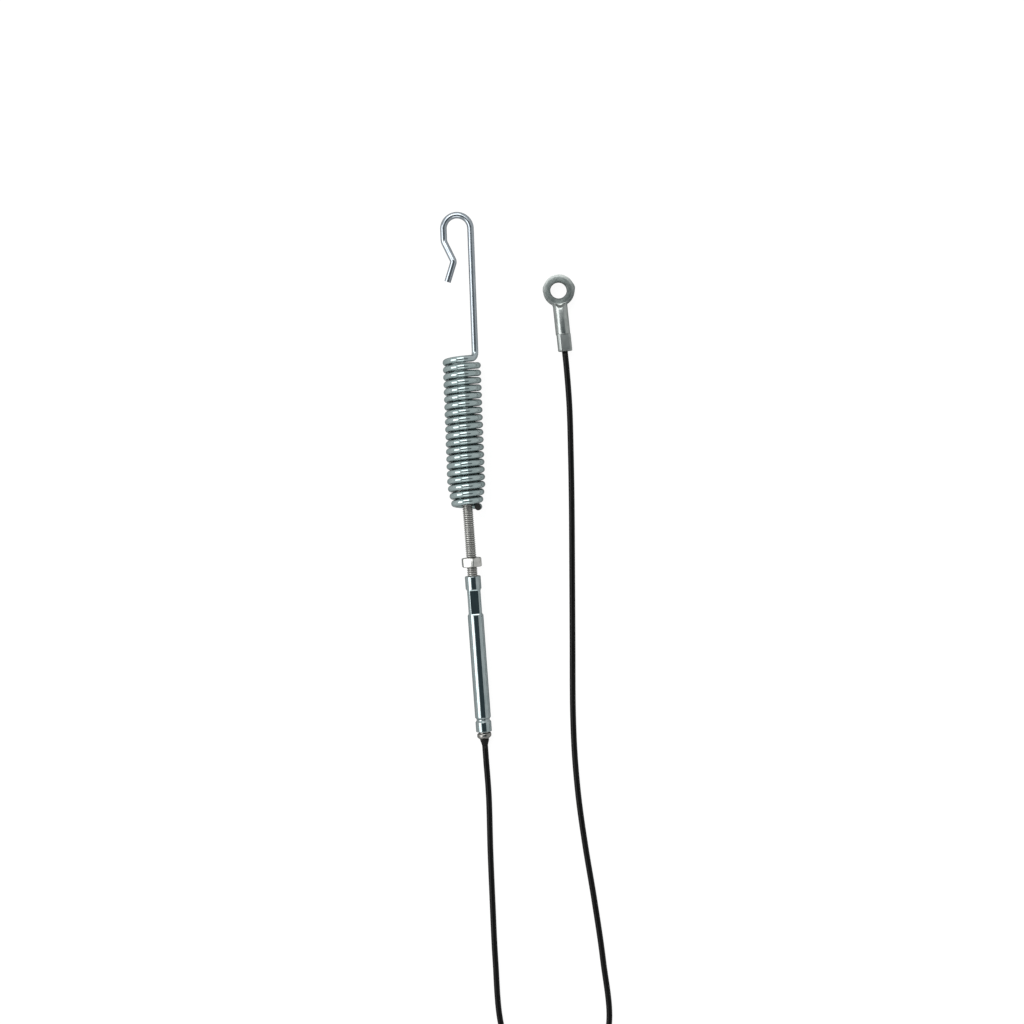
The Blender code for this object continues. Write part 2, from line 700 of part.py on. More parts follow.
def main():
    remove_scene_objects()
    cable = make_collection("control_cable")
    guides = make_collection("guides")

    zinc = make_material("zinc_spring_wire", (0.62, 0.66, 0.66), 1.0, 0.24)
    steel = make_material("plain_steel", (0.46, 0.45, 0.42), 1.0, 0.34)
    plated = make_material("plated_barrel", (0.66, 0.69, 0.69), 1.0, 0.18)
    forged = make_material("dull_zinc", (0.50, 0.53, 0.52), 1.0, 0.38)
    vinyl = make_material("black_vinyl", (0.012, 0.012, 0.013), 0.0, 0.38)
    rubber = make_material("black_seal", (0.018, 0.018, 0.018), 0.0, 0.55)
    rope_steel = make_material("rope_steel", (0.50, 0.50, 0.49), 1.0, 0.35)

    seat = Vector((0.0, COIL_END_Y + head_seat_above_end(), AXIS_HEIGHT))
    adjuster = axis_frame("adjuster_axis", seat, ADJUSTER_LEAN, adjuster_droop(), cable)
    eye_middle = Vector((TERMINAL_X, TERMINAL_Y, SLEEVE_RADIUS))
    terminal = axis_frame("terminal_axis", eye_middle, TERMINAL_LEAN, 0.0, cable)

    hook_spring(cable, zinc)
    adjuster_stud(cable, guides, adjuster, steel)
    jam_nut(cable, guides, adjuster, steel)
    adjuster_barrel(cable, guides, adjuster, plated)
    swivel_ferrule(cable, adjuster, plated)
    cable_seal(cable, adjuster, rubber)
    eye_terminal(cable, guides, terminal, forged)

    route = cable_path(adjuster.matrix_world, terminal.matrix_world)
    cable_jacket(route, cable, vinyl)
    wire_rope(route, adjuster.matrix_world, terminal.matrix_world, cable, rope_steel)


main()
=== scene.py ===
"""Looks of the implement control cable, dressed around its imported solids."""
from math import atan2, cos, exp, pi, radians, sin, sqrt, tan, tau

import bmesh
import bpy
from mathutils import Matrix, Vector


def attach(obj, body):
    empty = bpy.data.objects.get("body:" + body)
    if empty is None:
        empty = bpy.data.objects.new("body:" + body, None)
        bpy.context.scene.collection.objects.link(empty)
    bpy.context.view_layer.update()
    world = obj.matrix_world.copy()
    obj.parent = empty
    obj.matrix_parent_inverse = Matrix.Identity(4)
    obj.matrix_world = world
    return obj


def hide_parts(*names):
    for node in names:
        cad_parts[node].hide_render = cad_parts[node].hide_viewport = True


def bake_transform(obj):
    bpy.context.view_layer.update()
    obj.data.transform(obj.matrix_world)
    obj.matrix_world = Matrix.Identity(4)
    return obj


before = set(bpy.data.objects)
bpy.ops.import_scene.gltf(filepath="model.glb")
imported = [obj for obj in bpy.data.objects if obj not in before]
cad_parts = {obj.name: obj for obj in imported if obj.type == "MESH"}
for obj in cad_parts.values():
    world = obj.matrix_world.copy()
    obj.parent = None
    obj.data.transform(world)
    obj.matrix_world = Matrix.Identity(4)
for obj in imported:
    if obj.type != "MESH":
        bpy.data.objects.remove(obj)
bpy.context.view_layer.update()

# Camera, lamps and floor
# The cable lies on a white table and the camera looks straight down on it from a little over a
# metre. Three soft windows and a dark ceiling above the camera give the bright plating its bands.
CAMERA_PLACE = (0.0268, -0.0226, 1.1815)
CAMERA_ROLL = radians(-2.17)
CAMERA_DISTANCE = 1.17
VIEW_WIDTH = 0.6144
SENSOR_WIDTH = 36.0
WINDOWS = (
    ("left_window", (-1.72, -0.02, 1.45), (0.0, -0.02, 0.0), 1.92, 1.36, 3.4),
    ("far_window", (-0.34, 1.65, 2.28), (0.0, 0.0, 0.0), 1.80, 1.98, 3.6),
    ("near_window", (0.00, -2.16, 1.98), (0.0, 0.0, 0.0), 1.80, 1.50, 1.6),
)
WHITE = (1.0, 1.0, 1.0)
CEILING_TONE = (0.078, 0.106, 0.120)
HIGH_WALL_TONE = (0.88, 0.90, 0.90)
SOFT_LIGHT_TONE = (0.30, 0.30, 0.30)
CEILING_ACROSS = (radians(-24), radians(42))
CEILING_ALONG = (radians(-32), radians(13.5))
TABLE_REACH = 4.0
TABLE_DROP = 0.00005
TABLE_PAINT = 0.62
TABLE_PAINT_FOR_EYE = 0.12
TABLE_GLOW_FOR_EYE = 0.93
TABLE_GLOW_FOR_GLOSS = 0.20


def link(name, data, *materials):
    """Links an object at the origin for data that is already in place."""
    piece = bpy.data.objects.new(name, data)
    bpy.context.scene.collection.objects.link(piece)
    for material in materials:
        data.materials.append(material)
    return piece


def written(shape, mesh):
    """Writes a shape to a mesh and returns the mesh."""
    shape.to_mesh(mesh)
    shape.free()
    return mesh


def feed(tree, target, inputs):
    """Gives inputs plain values, other nodes' outputs or, for a whole node, its first output."""
    for name, value in dict(inputs).items():
        socket = target.inputs[name]
        if isinstance(value, bpy.types.Node):
            value = value.outputs[0]
        if isinstance(value, bpy.types.NodeSocket):
            tree.links.new(value, socket)
        elif socket.type == "RGBA":
            socket.default_value = (*value, 1.0)
        else:
            socket.default_value = value


def node(tree, kind, inputs=(), **settings):
    """Adds a node with its settings and inputs."""
    made = tree.nodes.new(kind)
    for name, value in settings.items():
        setattr(made, name, value)
    feed(tree, made, inputs)
    return made


def calc(tree, operation, *values):
    """Math node on plain values and other nodes."""
    return node(tree, "ShaderNodeMath", enumerate(values), operation=operation)


def parts(tree, place):
    """X, Y and Z of a place."""
    return node(tree, "ShaderNodeSeparateXYZ", {"Vector": place}).outputs


def spread(tree, value, low, high, from_low=0.3, from_high=0.7, easing="LINEAR"):
    """Maps a range to another; the usual range is that of a noise."""
    return node(tree, "ShaderNodeMapRange", {
        "Value": value, "From Min": from_low, "From Max": from_high, "To Min": low, "To Max": high,
    }, interpolation_type=easing)


def mixed(tree, factor, first, second):
    """Mixes two colours by a mask."""
    mix = node(tree, "ShaderNodeMix", {"Factor": factor, "A": first, "B": second}, data_type="RGBA")
    return mix.outputs["Result"]


def band(tree, value, low, high, soft):
    """Mask that is 1 while a value lies between low and high."""
    rise = spread(tree, value, 0.0, 1.0, low - soft, low + soft, "SMOOTHSTEP")
    fall = spread(tree, value, 1.0, 0.0, high - soft, high + soft, "SMOOTHSTEP")
    return calc(tree, "MULTIPLY", rise, fall)


def place_camera():
    """Adds the camera that looks straight down on the cable."""
    data = bpy.data.cameras.new("photo_camera")
    data.sensor_width = SENSOR_WIDTH
    data.lens = SENSOR_WIDTH * CAMERA_DISTANCE / VIEW_WIDTH
    data.clip_end = 20.0
    camera = link("photo_camera", data)
    camera.location = CAMERA_PLACE
    camera.rotation_euler = (0.0, 0.0, CAMERA_ROLL)
    bpy.context.scene.camera = camera


def hang_window(name, place, aim, width, height, radiance):
    """Hangs a soft window that faces a point; radiance 1 looks as bright as white paper."""
    data = bpy.data.lights.new(name, "AREA")
    data.shape = "RECTANGLE"
    data.size = width
    data.size_y = height
    data.energy = pi * width * height * radiance
    lamp = link(name, data)
    lamp.location = place
    lamp.rotation_euler = (Vector(aim) - Vector(place)).to_track_quat("-Z", "Y").to_euler()
    lamp.visible_camera = False


def light_the_room():
    """White background for the eye, and a studio with a dark ceiling for the plating."""
    world = bpy.data.worlds.new("studio")
    bpy.context.scene.world = world
    world.use_nodes = True
    tree = world.node_tree
    tree.nodes.clear()
    way = parts(tree, node(tree, "ShaderNodeTexCoord").outputs["Generated"])
    across = calc(tree, "ARCTAN2", way["X"], way["Z"])
    along = calc(tree, "ARCTAN2", way["Y"], way["Z"])
    ceiling = calc(
        tree, "MULTIPLY",
        band(tree, across, *CEILING_ACROSS, 0.04), band(tree, along, *CEILING_ALONG, 0.03),
    )
    high = spread(tree, way["Z"], 0.0, 1.0, 0.05, 0.30, "SMOOTHSTEP")
    studio = mixed(tree, ceiling, mixed(tree, high, WHITE, HIGH_WALL_TONE), CEILING_TONE)
    path = node(tree, "ShaderNodeLightPath").outputs
    for_gloss = mixed(tree, path["Is Glossy Ray"], SOFT_LIGHT_TONE, studio)
    seen = calc(tree, "MAXIMUM", path["Is Camera Ray"], path["Is Transmission Ray"])
    for_eye = mixed(tree, seen, for_gloss, WHITE)
    background = node(tree, "ShaderNodeBackground", {"Color": for_eye})
    node(tree, "ShaderNodeOutputWorld", {"Surface": background})


def lay_table():
    """White table top: it glows for the eye and a little for the plating, and keeps its shadow."""
    shape = bmesh.new()
    bmesh.ops.create_grid(shape, x_segments=1, y_segments=1, size=TABLE_REACH)
    bmesh.ops.translate(shape, verts=shape.verts, vec=(0.0, 0.0, -TABLE_DROP))
    mesh = written(shape, bpy.data.meshes.new("table_top"))
    material = bpy.data.materials.new("white_table")
    material.use_nodes = True
    tree = material.node_tree
    tree.nodes.clear()
    path = node(tree, "ShaderNodeLightPath").outputs
    tone = spread(tree, path["Is Camera Ray"], TABLE_PAINT, TABLE_PAINT_FOR_EYE, 0.0, 1.0)
    paint = node(tree, "ShaderNodeBsdfDiffuse", {"Color": tone})
    seen = calc(tree, "MAXIMUM", path["Is Camera Ray"], path["Is Transmission Ray"])
    for_gloss = calc(tree, "MULTIPLY", path["Is Glossy Ray"], TABLE_GLOW_FOR_GLOSS)
    share = calc(tree, "MULTIPLY_ADD", seen, TABLE_GLOW_FOR_EYE, for_gloss)
    glow = node(tree, "ShaderNodeEmission", {"Strength": share})
    both = node(tree, "ShaderNodeAddShader", {0: paint, 1: glow})
    node(tree, "ShaderNodeOutputMaterial", {"Surface": both})
    link("table_top", mesh, material)


bpy.context.scene.view_settings.view_transform = "Standard"
place_camera()
light_the_room()
lay_table()
for window in WINDOWS:
    hang_window(*window)

# Coated cable
# The black vinyl is extruded over a steel rope. It runs from the seal under the adjuster to the
# sleeve of the eye terminal in one loose bend on the table.
ADJUSTER_SEAT = Vector((0.0, -0.009806, 0.01148))
ADJUSTER_LEAN = radians(1.95)
ADJUSTER_DROOP = radians(2.6843)
EYE_MIDDLE = Vector((0.0599, 0.1099, 0.0044))
TERMINAL_LEAN = radians(3.8)
JACKET_RADIUS = 0.0018
JACKET_WALL = 0.00055
JACKET_START = -0.1529
FLANGE_BOTTOM = -0.1489
SLEEVE_END = 0.03675
CABLE_STRAIGHT_RUN = 0.0090
CABLE_END_GAP = 0.0003
CABLE_SPACING = 0.0025
CURVE_STEPS = 32
ROPE_SOCKET_DEPTH = 0.0220
CABLE_ROUTE = [
    (0.0063, -0.1937, 0.0011), (0.0060, -0.2265, 0.0002), (0.0061, -0.2568, 0.0),
    (0.0065, -0.2931, 0.0), (0.0084, -0.3319, 0.0), (0.0159, -0.3576, 0.0),
    (0.0305, -0.3719, 0.0), (0.0492, -0.3726, 0.0), (0.0649, -0.3596, 0.0),
    (0.0737, -0.3345, 0.0), (0.0716, -0.2956, 0.0), (0.0677, -0.2591, 0.0),
    (0.0638, -0.2287, 0.0), (0.0611, -0.2038, 0.0), (0.0599, -0.1875, 0.0),
    (0.0591, -0.1680, 0.0), (0.0591, -0.1438, 0.0), (0.0605, -0.1002, 0.0),
    (0.0616, -0.0664, 0.0), (0.0631, -0.0181, 0.0), (0.0637, 0.0110, 0.0001),
    (0.0639, 0.0401, 0.0011),
]


def axis_place(origin, lean, droop):
    """Place of a piece whose local Z runs back along its axis, with X level and Y downwards."""
    flat, rise = cos(droop), sin(droop)
    back = Vector((-sin(lean) * flat, cos(lean) * flat, rise))
    level = Vector((cos(lean), sin(lean), 0.0))
    turn = Matrix((level, back.cross(level), back)).transposed().to_4x4()
    return Matrix.Translation(origin) @ turn


def on_axis(place, along):
    """Point on the axis of a placed piece."""
    return place @ Vector((0.0, 0.0, along))


def curve_point(knots, times, now):
    """Point of the smooth curve between the two middle knots of four."""
    first = [
        knots[i].lerp(knots[i + 1], (now - times[i]) / (times[i + 1] - times[i])) for i in range(3)
    ]
    second = [
        first[i].lerp(first[i + 1], (now - times[i]) / (times[i + 2] - times[i])) for i in range(2)
    ]
    return second[0].lerp(second[1], (now - times[1]) / (times[2] - times[1]))


def spaced(fine, spacing):
    """Reads evenly spaced points from a fine line."""
    lengths = [0.0]
    for first, second in zip(fine, fine[1:]):
        lengths.append(lengths[-1] + (second - first).length)
    count = round(lengths[-1] / spacing)
    points, place = [], 0
    for step in range(count + 1):
        wanted = lengths[-1] * step / count
        while place < len(fine) - 2 and lengths[place + 1] < wanted:
            place += 1
        share = (wanted - lengths[place]) / (lengths[place + 1] - lengths[place])
        points.append(fine[place].lerp(fine[place + 1], share))
    return points


def cable_route():
    """Middle of the free cable, from the seal to the sleeve of the eye terminal."""
    start = (FLANGE_BOTTOM, JACKET_START, JACKET_START - CABLE_STRAIGHT_RUN)
    jacket_end = -SLEEVE_END - CABLE_END_GAP
    end = (jacket_end - CABLE_STRAIGHT_RUN, jacket_end, ROPE_SOCKET_DEPTH - SLEEVE_END)
    knots = [on_axis(ADJUSTER, along) for along in start]
    knots.extend(Vector((x, y, JACKET_RADIUS + rise)) for x, y, rise in CABLE_ROUTE)
    knots.extend(on_axis(TERMINAL, along) for along in end)
    fine = []
    for four in zip(knots, knots[1:], knots[2:], knots[3:]):
        times = [0.0]
        for first, second in zip(four, four[1:]):
            times.append(times[-1] + sqrt((second - first).length))
        for step in range(CURVE_STEPS):
            now = times[1] + (times[2] - times[1]) * step / CURVE_STEPS
            fine.append(curve_point(four, times, now))
    fine.append(knots[-2])
    points = spaced(fine, CABLE_SPACING)
    for point in points:
        point.z = max(point.z, JACKET_RADIUS)
    return points


def new_tree(name, kind, inputs, outputs):
    """Starts a node group; returns it, its input sockets and their identifiers."""
    tree = bpy.data.node_groups.new(name, kind)
    ids = {}
    for label, form in inputs.items():
        socket = tree.interface.new_socket(label, in_out="INPUT", socket_type="NodeSocket" + form)
        ids[label] = socket.identifier
    for label, form in outputs.items():
        tree.interface.new_socket(label, in_out="OUTPUT", socket_type="NodeSocket" + form)
    return tree, node(tree, "NodeGroupInput").outputs, ids


def captured(tree, geometry, kind, value):
    """Keeps a value on the points of a geometry; returns the geometry and the kept value."""
    keep = tree.nodes.new("GeometryNodeCaptureAttribute")
    keep.capture_items.new(kind, "Kept")
    feed(tree, keep, {"Geometry": geometry, "Kept": value})
    return keep.outputs["Geometry"], keep.outputs["Kept"]


def joined(tree, x, y, z=0.0):
    """Place from its X, Y and Z."""
    return node(tree, "ShaderNodeCombineXYZ", {"X": x, "Y": y, "Z": z})


def sweep_tree():
    """Node tree that sweeps a round wire along a line and notes where each point lies on it.

    The attribute "wrap" holds the place around the wire in X and Y and the length along it in Z.
    """
    tree, given, ids = new_tree("swept_wire", "GeometryNodeTree", {
        "Line": "Geometry", "Wire radius": "Float", "Sides": "Int", "Filled ends": "Bool",
        "Material": "Material",
    }, {"Wire": "Geometry"})
    run = node(tree, "GeometryNodeSplineParameter").outputs["Length"]
    line, length = captured(tree, given["Line"], "FLOAT", run)
    circle = node(tree, "GeometryNodeCurvePrimitiveCircle", {
        "Resolution": given["Sides"], "Radius": given["Wire radius"],
    })
    place = node(tree, "GeometryNodeInputPosition")
    profile, around = captured(tree, circle, "VECTOR", place)
    sweep = node(tree, "GeometryNodeCurveToMesh", {
        "Curve": line, "Profile Curve": profile, "Fill Caps": given["Filled ends"],
    })
    apart = parts(tree, around)
    store = node(tree, "GeometryNodeStoreNamedAttribute", {
        "Geometry": sweep, "Name": "wrap", "Value": joined(tree, apart["X"], apart["Y"], length),
    }, data_type="FLOAT_VECTOR")
    real = node(tree, "GeometryNodeRealizeInstances", {"Geometry": store})
    paint = node(tree, "GeometryNodeSetMaterial", {"Geometry": real, "Material": given["Material"]})
    node(tree, "NodeGroupOutput", {"Wire": paint})
    return tree, ids


def poly_line(name, points, radii=None):
    """Line object through points, for a node tree to work on."""
    curve = bpy.data.curves.new(name, "CURVE")
    curve.dimensions = "3D"
    spline = curve.splines.new("POLY")
    spline.points.add(len(points) - 1)
    for index, (target, point) in enumerate(zip(spline.points, points)):
        target.co = (*point, 1.0)
        target.radius = radii[index] if radii else 1.0
    return link(name, curve)


def made_mesh(source):
    """Plain mesh that an object's modifiers make; the object is removed."""
    bpy.context.view_layer.update()
    depsgraph = bpy.context.evaluated_depsgraph_get()
    mesh = bpy.data.meshes.new_from_object(source.evaluated_get(depsgraph))
    bpy.data.objects.remove(source, do_unlink=True)
    return mesh


def grown(source, tree, ids, values):
    """Runs a node tree on an object with the given inputs and returns the mesh it makes."""
    modifier = source.modifiers.new("made_by_rule", "NODES")
    modifier.node_group = tree
    for name, value in values.items():
        modifier[ids[name]] = value
    return made_mesh(source)


def smooth(mesh, angle=40.0):
    """Shades round faces smooth and keeps edges sharper than an angle."""
    mesh.shade_smooth()
    mesh.set_sharp_from_angle(angle=radians(angle))


def swept(name, points, radius, sides, filled, material, radii=None):
    """Sweeps a round wire of one material through points."""
    mesh = grown(poly_line(name + "_line", points, radii), *SWEEP, {
        "Wire radius": radius, "Sides": sides, "Filled ends": filled, "Material": material,
    })
    mesh.name = name
    smooth(mesh)
    return link(name, mesh)


def finish_group():
    """Shader group for the small unevenness of a made surface.

    It gives a soft blotch, fine grain and streaks that run along local Z, each around 0.5.
    """
    tree, given, _ = new_tree("surface_unevenness", "ShaderNodeTree", {
        "Place": "Vector", "Blotches per metre": "Float", "Grains per metre": "Float",
        "Streak length": "Float",
    }, {"Blotch": "Float", "Grain": "Float", "Streak": "Float"})
    apart = parts(tree, given["Place"])
    along = calc(tree, "DIVIDE", apart["Z"], given["Streak length"])
    drawn_out = joined(tree, apart["X"], apart["Y"], along)
    node(tree, "NodeGroupOutput", {
        name: node(tree, "ShaderNodeTexNoise", {"Vector": place, "Scale": scale, "Detail": detail})
        for name, place, scale, detail in (
            ("Blotch", given["Place"], given["Blotches per metre"], 3.0),
            ("Grain", given["Place"], given["Grains per metre"], 2.0),
            ("Streak", drawn_out, given["Grains per metre"], 3.0),
        )
    })
    return tree


def new_finish(name, attribute, blotches, grains, streak_length):
    """Starts a material; returns it, its tree and the unevenness that follows an attribute."""
    material = bpy.data.materials.new(name)
    material.use_nodes = True
    tree = material.node_tree
    place = node(tree, "ShaderNodeAttribute", attribute_name=attribute)
    uneven = node(tree, "ShaderNodeGroup", {
        "Place": place.outputs["Vector"], "Blotches per metre": blotches,
        "Grains per metre": grains, "Streak length": streak_length,
    }, node_tree=UNEVENNESS)
    return material, tree, uneven.outputs


def relief(tree, height, strength, distance):
    """Small relief from a height."""
    return node(tree, "ShaderNodeBump", {
        "Strength": strength, "Distance": distance, "Height": height,
    })


def dressed(material, inputs):
    """Gives the material's shader its looks."""
    feed(material.node_tree, material.node_tree.nodes["Principled BSDF"], inputs)
    return material


def vinyl():
    """Smooth black vinyl with faint extrusion lines and dust-dulled patches."""
    material, tree, uneven = new_finish("black_vinyl", "wrap", 60.0, 1500.0, 60.0)
    return dressed(material, {
        "Specular IOR Level": 0.11,
        "Base Color": mixed(tree, uneven["Blotch"], (0.002, 0.002, 0.002), (0.006, 0.006, 0.006)),
        "Roughness": spread(tree, uneven["Blotch"], 0.26, 0.38),
        "Normal": relief(tree, uneven["Streak"], 0.25, 0.00003),
    })


ADJUSTER = axis_place(ADJUSTER_SEAT, ADJUSTER_LEAN, ADJUSTER_DROOP)
TERMINAL = axis_place(EYE_MIDDLE, TERMINAL_LEAN, 0.0)
SWEEP = sweep_tree()
UNEVENNESS = finish_group()

route = cable_route()
jacket = swept("cable_jacket_coating", route, JACKET_RADIUS, 28, False, vinyl())
wall = jacket.modifiers.new("wall", "SOLIDIFY")
wall.thickness = JACKET_WALL
wall.offset = -1.0
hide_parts("cable_jacket")
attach(jacket, "cable")

# Rope inside the coating
# Galvanised steel rope of six strands laid around a seventh. Both of its ends are swaged fast
# inside a fitting, so it shows only in the hairline gaps at the ends of the coating.
ROPE_RADIUS = 0.0010
ROPE_STRANDS = 6
ROPE_LAY = 0.0130
ROPE_START = -0.1256
ROPE_SPACING = 0.0013
ROPE_END_GAP = 0.001


def rope_strand_line(path, strand):
    """Line of one strand that winds around the rope's middle."""
    offset = 2.0 * ROPE_RADIUS / 3.0
    points, run = [], 0.0
    for index, point in enumerate(path):
        before, after = path[max(index - 1, 0)], path[min(index + 1, len(path) - 1)]
        way = (after - before).normalized()
        side = way.cross(Vector((0.0, 0.0, 1.0))).normalized()
        lift = side.cross(way)
        run += (point - path[index - 1]).length if index else 0.0
        turn = tau * (run / ROPE_LAY + strand / ROPE_STRANDS)
        points.append(point + (side * cos(turn) + lift * sin(turn)) * offset)
    return points


def galvanised():
    """Dull galvanised steel wire."""
    material, tree, uneven = new_finish("rope_steel", "wrap", 200.0, 4000.0, 20.0)
    return dressed(material, {
        "Metallic": 1.0,
        "Base Color": mixed(tree, uneven["Streak"], (0.36, 0.37, 0.37), (0.56, 0.57, 0.56)),
        "Roughness": spread(tree, uneven["Grain"], 0.30, 0.45),
    })


def lay_rope():
    """Lays the strands along the cable and joins them in one piece."""
    core = spaced([
        on_axis(ADJUSTER, ROPE_START), on_axis(ADJUSTER, JACKET_START), *route[1:],
        on_axis(TERMINAL, ROPE_SOCKET_DEPTH - SLEEVE_END - ROPE_END_GAP),
    ], ROPE_SPACING)
    steel = galvanised()
    shape = bmesh.new()
    for line in (core, *(rope_strand_line(core, strand) for strand in range(ROPE_STRANDS))):
        strand = swept("rope_strand", line, ROPE_RADIUS / 3.0, 8, True, steel)
        shape.from_mesh(strand.data)
        bpy.data.objects.remove(strand, do_unlink=True)
    mesh = written(shape, bpy.data.meshes.new("wire_rope_strands"))
    smooth(mesh)
    return link("wire_rope_strands", mesh, steel)


rope = lay_rope()
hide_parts("wire_rope")
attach(rope, "cable")

# Hook and spring
# One length of 4 mm spring wire, zinc plated bright: close turns that cone down around the
# screw's head at one end, and at the other a long shank bent into a hook with an outturned tip.
WIRE_RADIUS = 0.00198
AXIS_HEIGHT = 0.01148
COIL_RADIUS = 0.0095
CONE_END_RADIUS = 0.007085
COIL_PITCH = 0.00446
COIL_TURNS = 20
CONE_TURNS = 3
COIL_END_Y = -0.0189
COIL_END_ANGLE = radians(67.5)
SHANK_ANGLE = radians(61.5)
SHANK_BEND_RADIUS = 0.0040
SHANK_LENGTH = 0.0782
HOOK_RADIUS = 0.00813
HOOK_LEG_LENGTH = 0.0074
HOOK_LEG_BEND_RADIUS = 0.0060
THROAT_LENGTH = 0.01355
THROAT_ANGLE = radians(24)
TIP_LENGTH = 0.0126
TIP_ANGLE = radians(19.5)
TIP_BEND_RADIUS = 0.0026
THROAT_RISE = 0.0014
TIP_FALL = 0.0003
WIRE_END_ROUNDING = 0.00018
TURN_STEPS = 48
SHANK_TONE_BLEND = 0.012
EDGE_TINT = (0.42, 0.44, 0.44)


def on_coil(angle, radius, along):
    """Point on the coil's cylinder, with angle 0 on top and growing towards +X."""
    return Vector((radius * sin(angle), along, AXIS_HEIGHT + radius * cos(angle)))


def filleted(corners, steps=4):
    """Points along straight runs whose corners are rounded by each corner's own radius."""
    points = [Vector(corners[0][0])]
    for before, here, after in zip(corners, corners[1:], corners[2:]):
        corner, radius = Vector(here[0]), here[1]
        if radius == 0.0:
            points.append(corner)
            continue
        back = (Vector(before[0]) - corner).normalized()
        ahead = (Vector(after[0]) - corner).normalized()
        half = back.angle(ahead) / 2
        centre = corner + (back + ahead).normalized() * radius / sin(half)
        start = corner + back * radius / tan(half) - centre
        end = corner + ahead * radius / tan(half) - centre
        for step in range(steps + 1):
            points.append(centre + start.slerp(end, step / steps).normalized() * radius)
    points.append(Vector(corners[-1][0]))
    return points


def hook_wire_line():
    """Follows the wire from the cut end of the cone to the tip of the hook."""
    shank_turns = COIL_TURNS + (SHANK_ANGLE - COIL_END_ANGLE) / tau
    round_turns = shank_turns - SHANK_BEND_RADIUS / COIL_RADIUS / tau
    arc_y = COIL_END_Y + COIL_TURNS * COIL_PITCH + SHANK_LENGTH
    points = []
    for step in range(int(round_turns * TURN_STEPS) + 1):
        turn = step / TURN_STEPS
        share = min(turn / CONE_TURNS, 1.0)
        radius = CONE_END_RADIUS + (COIL_RADIUS - CONE_END_RADIUS) * share
        angle = COIL_END_ANGLE + turn * tau
        points.append(on_coil(angle, radius, COIL_END_Y + turn * COIL_PITCH))
    shank_run = shank_turns * tau * COIL_RADIUS
    flat_bend = filleted([
        ((turn * tau * COIL_RADIUS, COIL_END_Y + turn * COIL_PITCH, 0.0), 0.0),
        ((shank_run, COIL_END_Y + shank_turns * COIL_PITCH, 0.0), SHANK_BEND_RADIUS),
        ((shank_run, arc_y, 0.0), 0.0),
    ], 16)
    for place in flat_bend[1:-1]:
        points.append(on_coil(COIL_END_ANGLE + place.x / COIL_RADIUS, COIL_RADIUS, place.y))
    arc_x = COIL_RADIUS * sin(SHANK_ANGLE) - HOOK_RADIUS
    for step in range(TURN_STEPS + 1):
        angle = pi * step / TURN_STEPS
        points.append(Vector((
            arc_x + HOOK_RADIUS * cos(angle),
            arc_y + HOOK_RADIUS * sin(angle),
            AXIS_HEIGHT,
        )))
    leg_end = Vector((arc_x - HOOK_RADIUS, arc_y - HOOK_LEG_LENGTH, AXIS_HEIGHT))
    throat = leg_end + Vector((sin(THROAT_ANGLE), -cos(THROAT_ANGLE), 0)) * THROAT_LENGTH
    throat.z += THROAT_RISE
    tip = throat + Vector((-sin(TIP_ANGLE), -cos(TIP_ANGLE), 0)) * TIP_LENGTH
    tip.z = AXIS_HEIGHT - TIP_FALL
    free_end = [(points[-1], 0.0), (leg_end, HOOK_LEG_BEND_RADIUS)]
    free_end += [(throat, TIP_BEND_RADIUS), (tip, 0.0)]
    return points + filleted(free_end, 12)[1:]


def eased_ends(points):
    """Adds the small rounding of a sheared wire's end to both ends of a line."""
    first = (points[1] - points[0]).normalized() * WIRE_END_ROUNDING
    last = (points[-2] - points[-1]).normalized() * WIRE_END_ROUNDING
    line = [points[0], points[0] + first * 0.3, points[0] + first, *points[1:-1]]
    line += [points[-1] + last, points[-1] + last * 0.3, points[-1]]
    radii = [0.90, 0.965] + [1.0] * (len(line) - 4) + [0.965, 0.90]
    return line, radii


def noted(tree, attribute):
    """X, Y and Z of a place that is noted on the piece."""
    place = node(tree, "ShaderNodeAttribute", attribute_name=attribute)
    return parts(tree, place.outputs["Vector"])


def bright_zinc(shank_start):
    """Bright zinc on drawn wire: faint drawing lines and pale bloom, greener on the coils."""
    material, tree, uneven = new_finish("bright_zinc_wire", "wrap", 140.0, 3200.0, 26.0)
    bloom = spread(tree, uneven["Blotch"], 0.0, 1.0)
    on_shank = spread(
        tree, noted(tree, "wrap")["Z"], 0.0, 1.0,
        shank_start - SHANK_TONE_BLEND, shank_start + SHANK_TONE_BLEND,
    )
    tone = mixed(
        tree, on_shank,
        mixed(tree, bloom, (0.280, 0.345, 0.345), (0.355, 0.420, 0.418)),
        mixed(tree, bloom, (0.275, 0.305, 0.335), (0.340, 0.370, 0.400)),
    )
    lines = spread(tree, uneven["Streak"], 0.0, 0.45, 0.52, 0.75)
    return dressed(material, {
        "Metallic": 0.84, "Specular Tint": EDGE_TINT,
        "Base Color": mixed(tree, lines, tone, (0.15, 0.19, 0.185)),
        "Roughness": spread(tree, uneven["Streak"], 0.05, 0.10),
        "Normal": relief(tree, uneven["Streak"], 0.25, 0.00002),
    })


def shaded_cut_end():
    """Bare steel of a sheared end, torn, painted nearly black as shade."""
    material, tree, uneven = new_finish("shaded_cut_end", "wrap", 900.0, 3000.0, 1.0)
    return dressed(material, {
        "Metallic": 1.0,
        "Base Color": mixed(tree, uneven["Grain"], (0.003, 0.003, 0.003), (0.034, 0.034, 0.033)),
        "Roughness": spread(tree, uneven["Grain"], 0.45, 0.65),
        "Normal": relief(tree, uneven["Grain"], 0.5, 0.00006),
    })


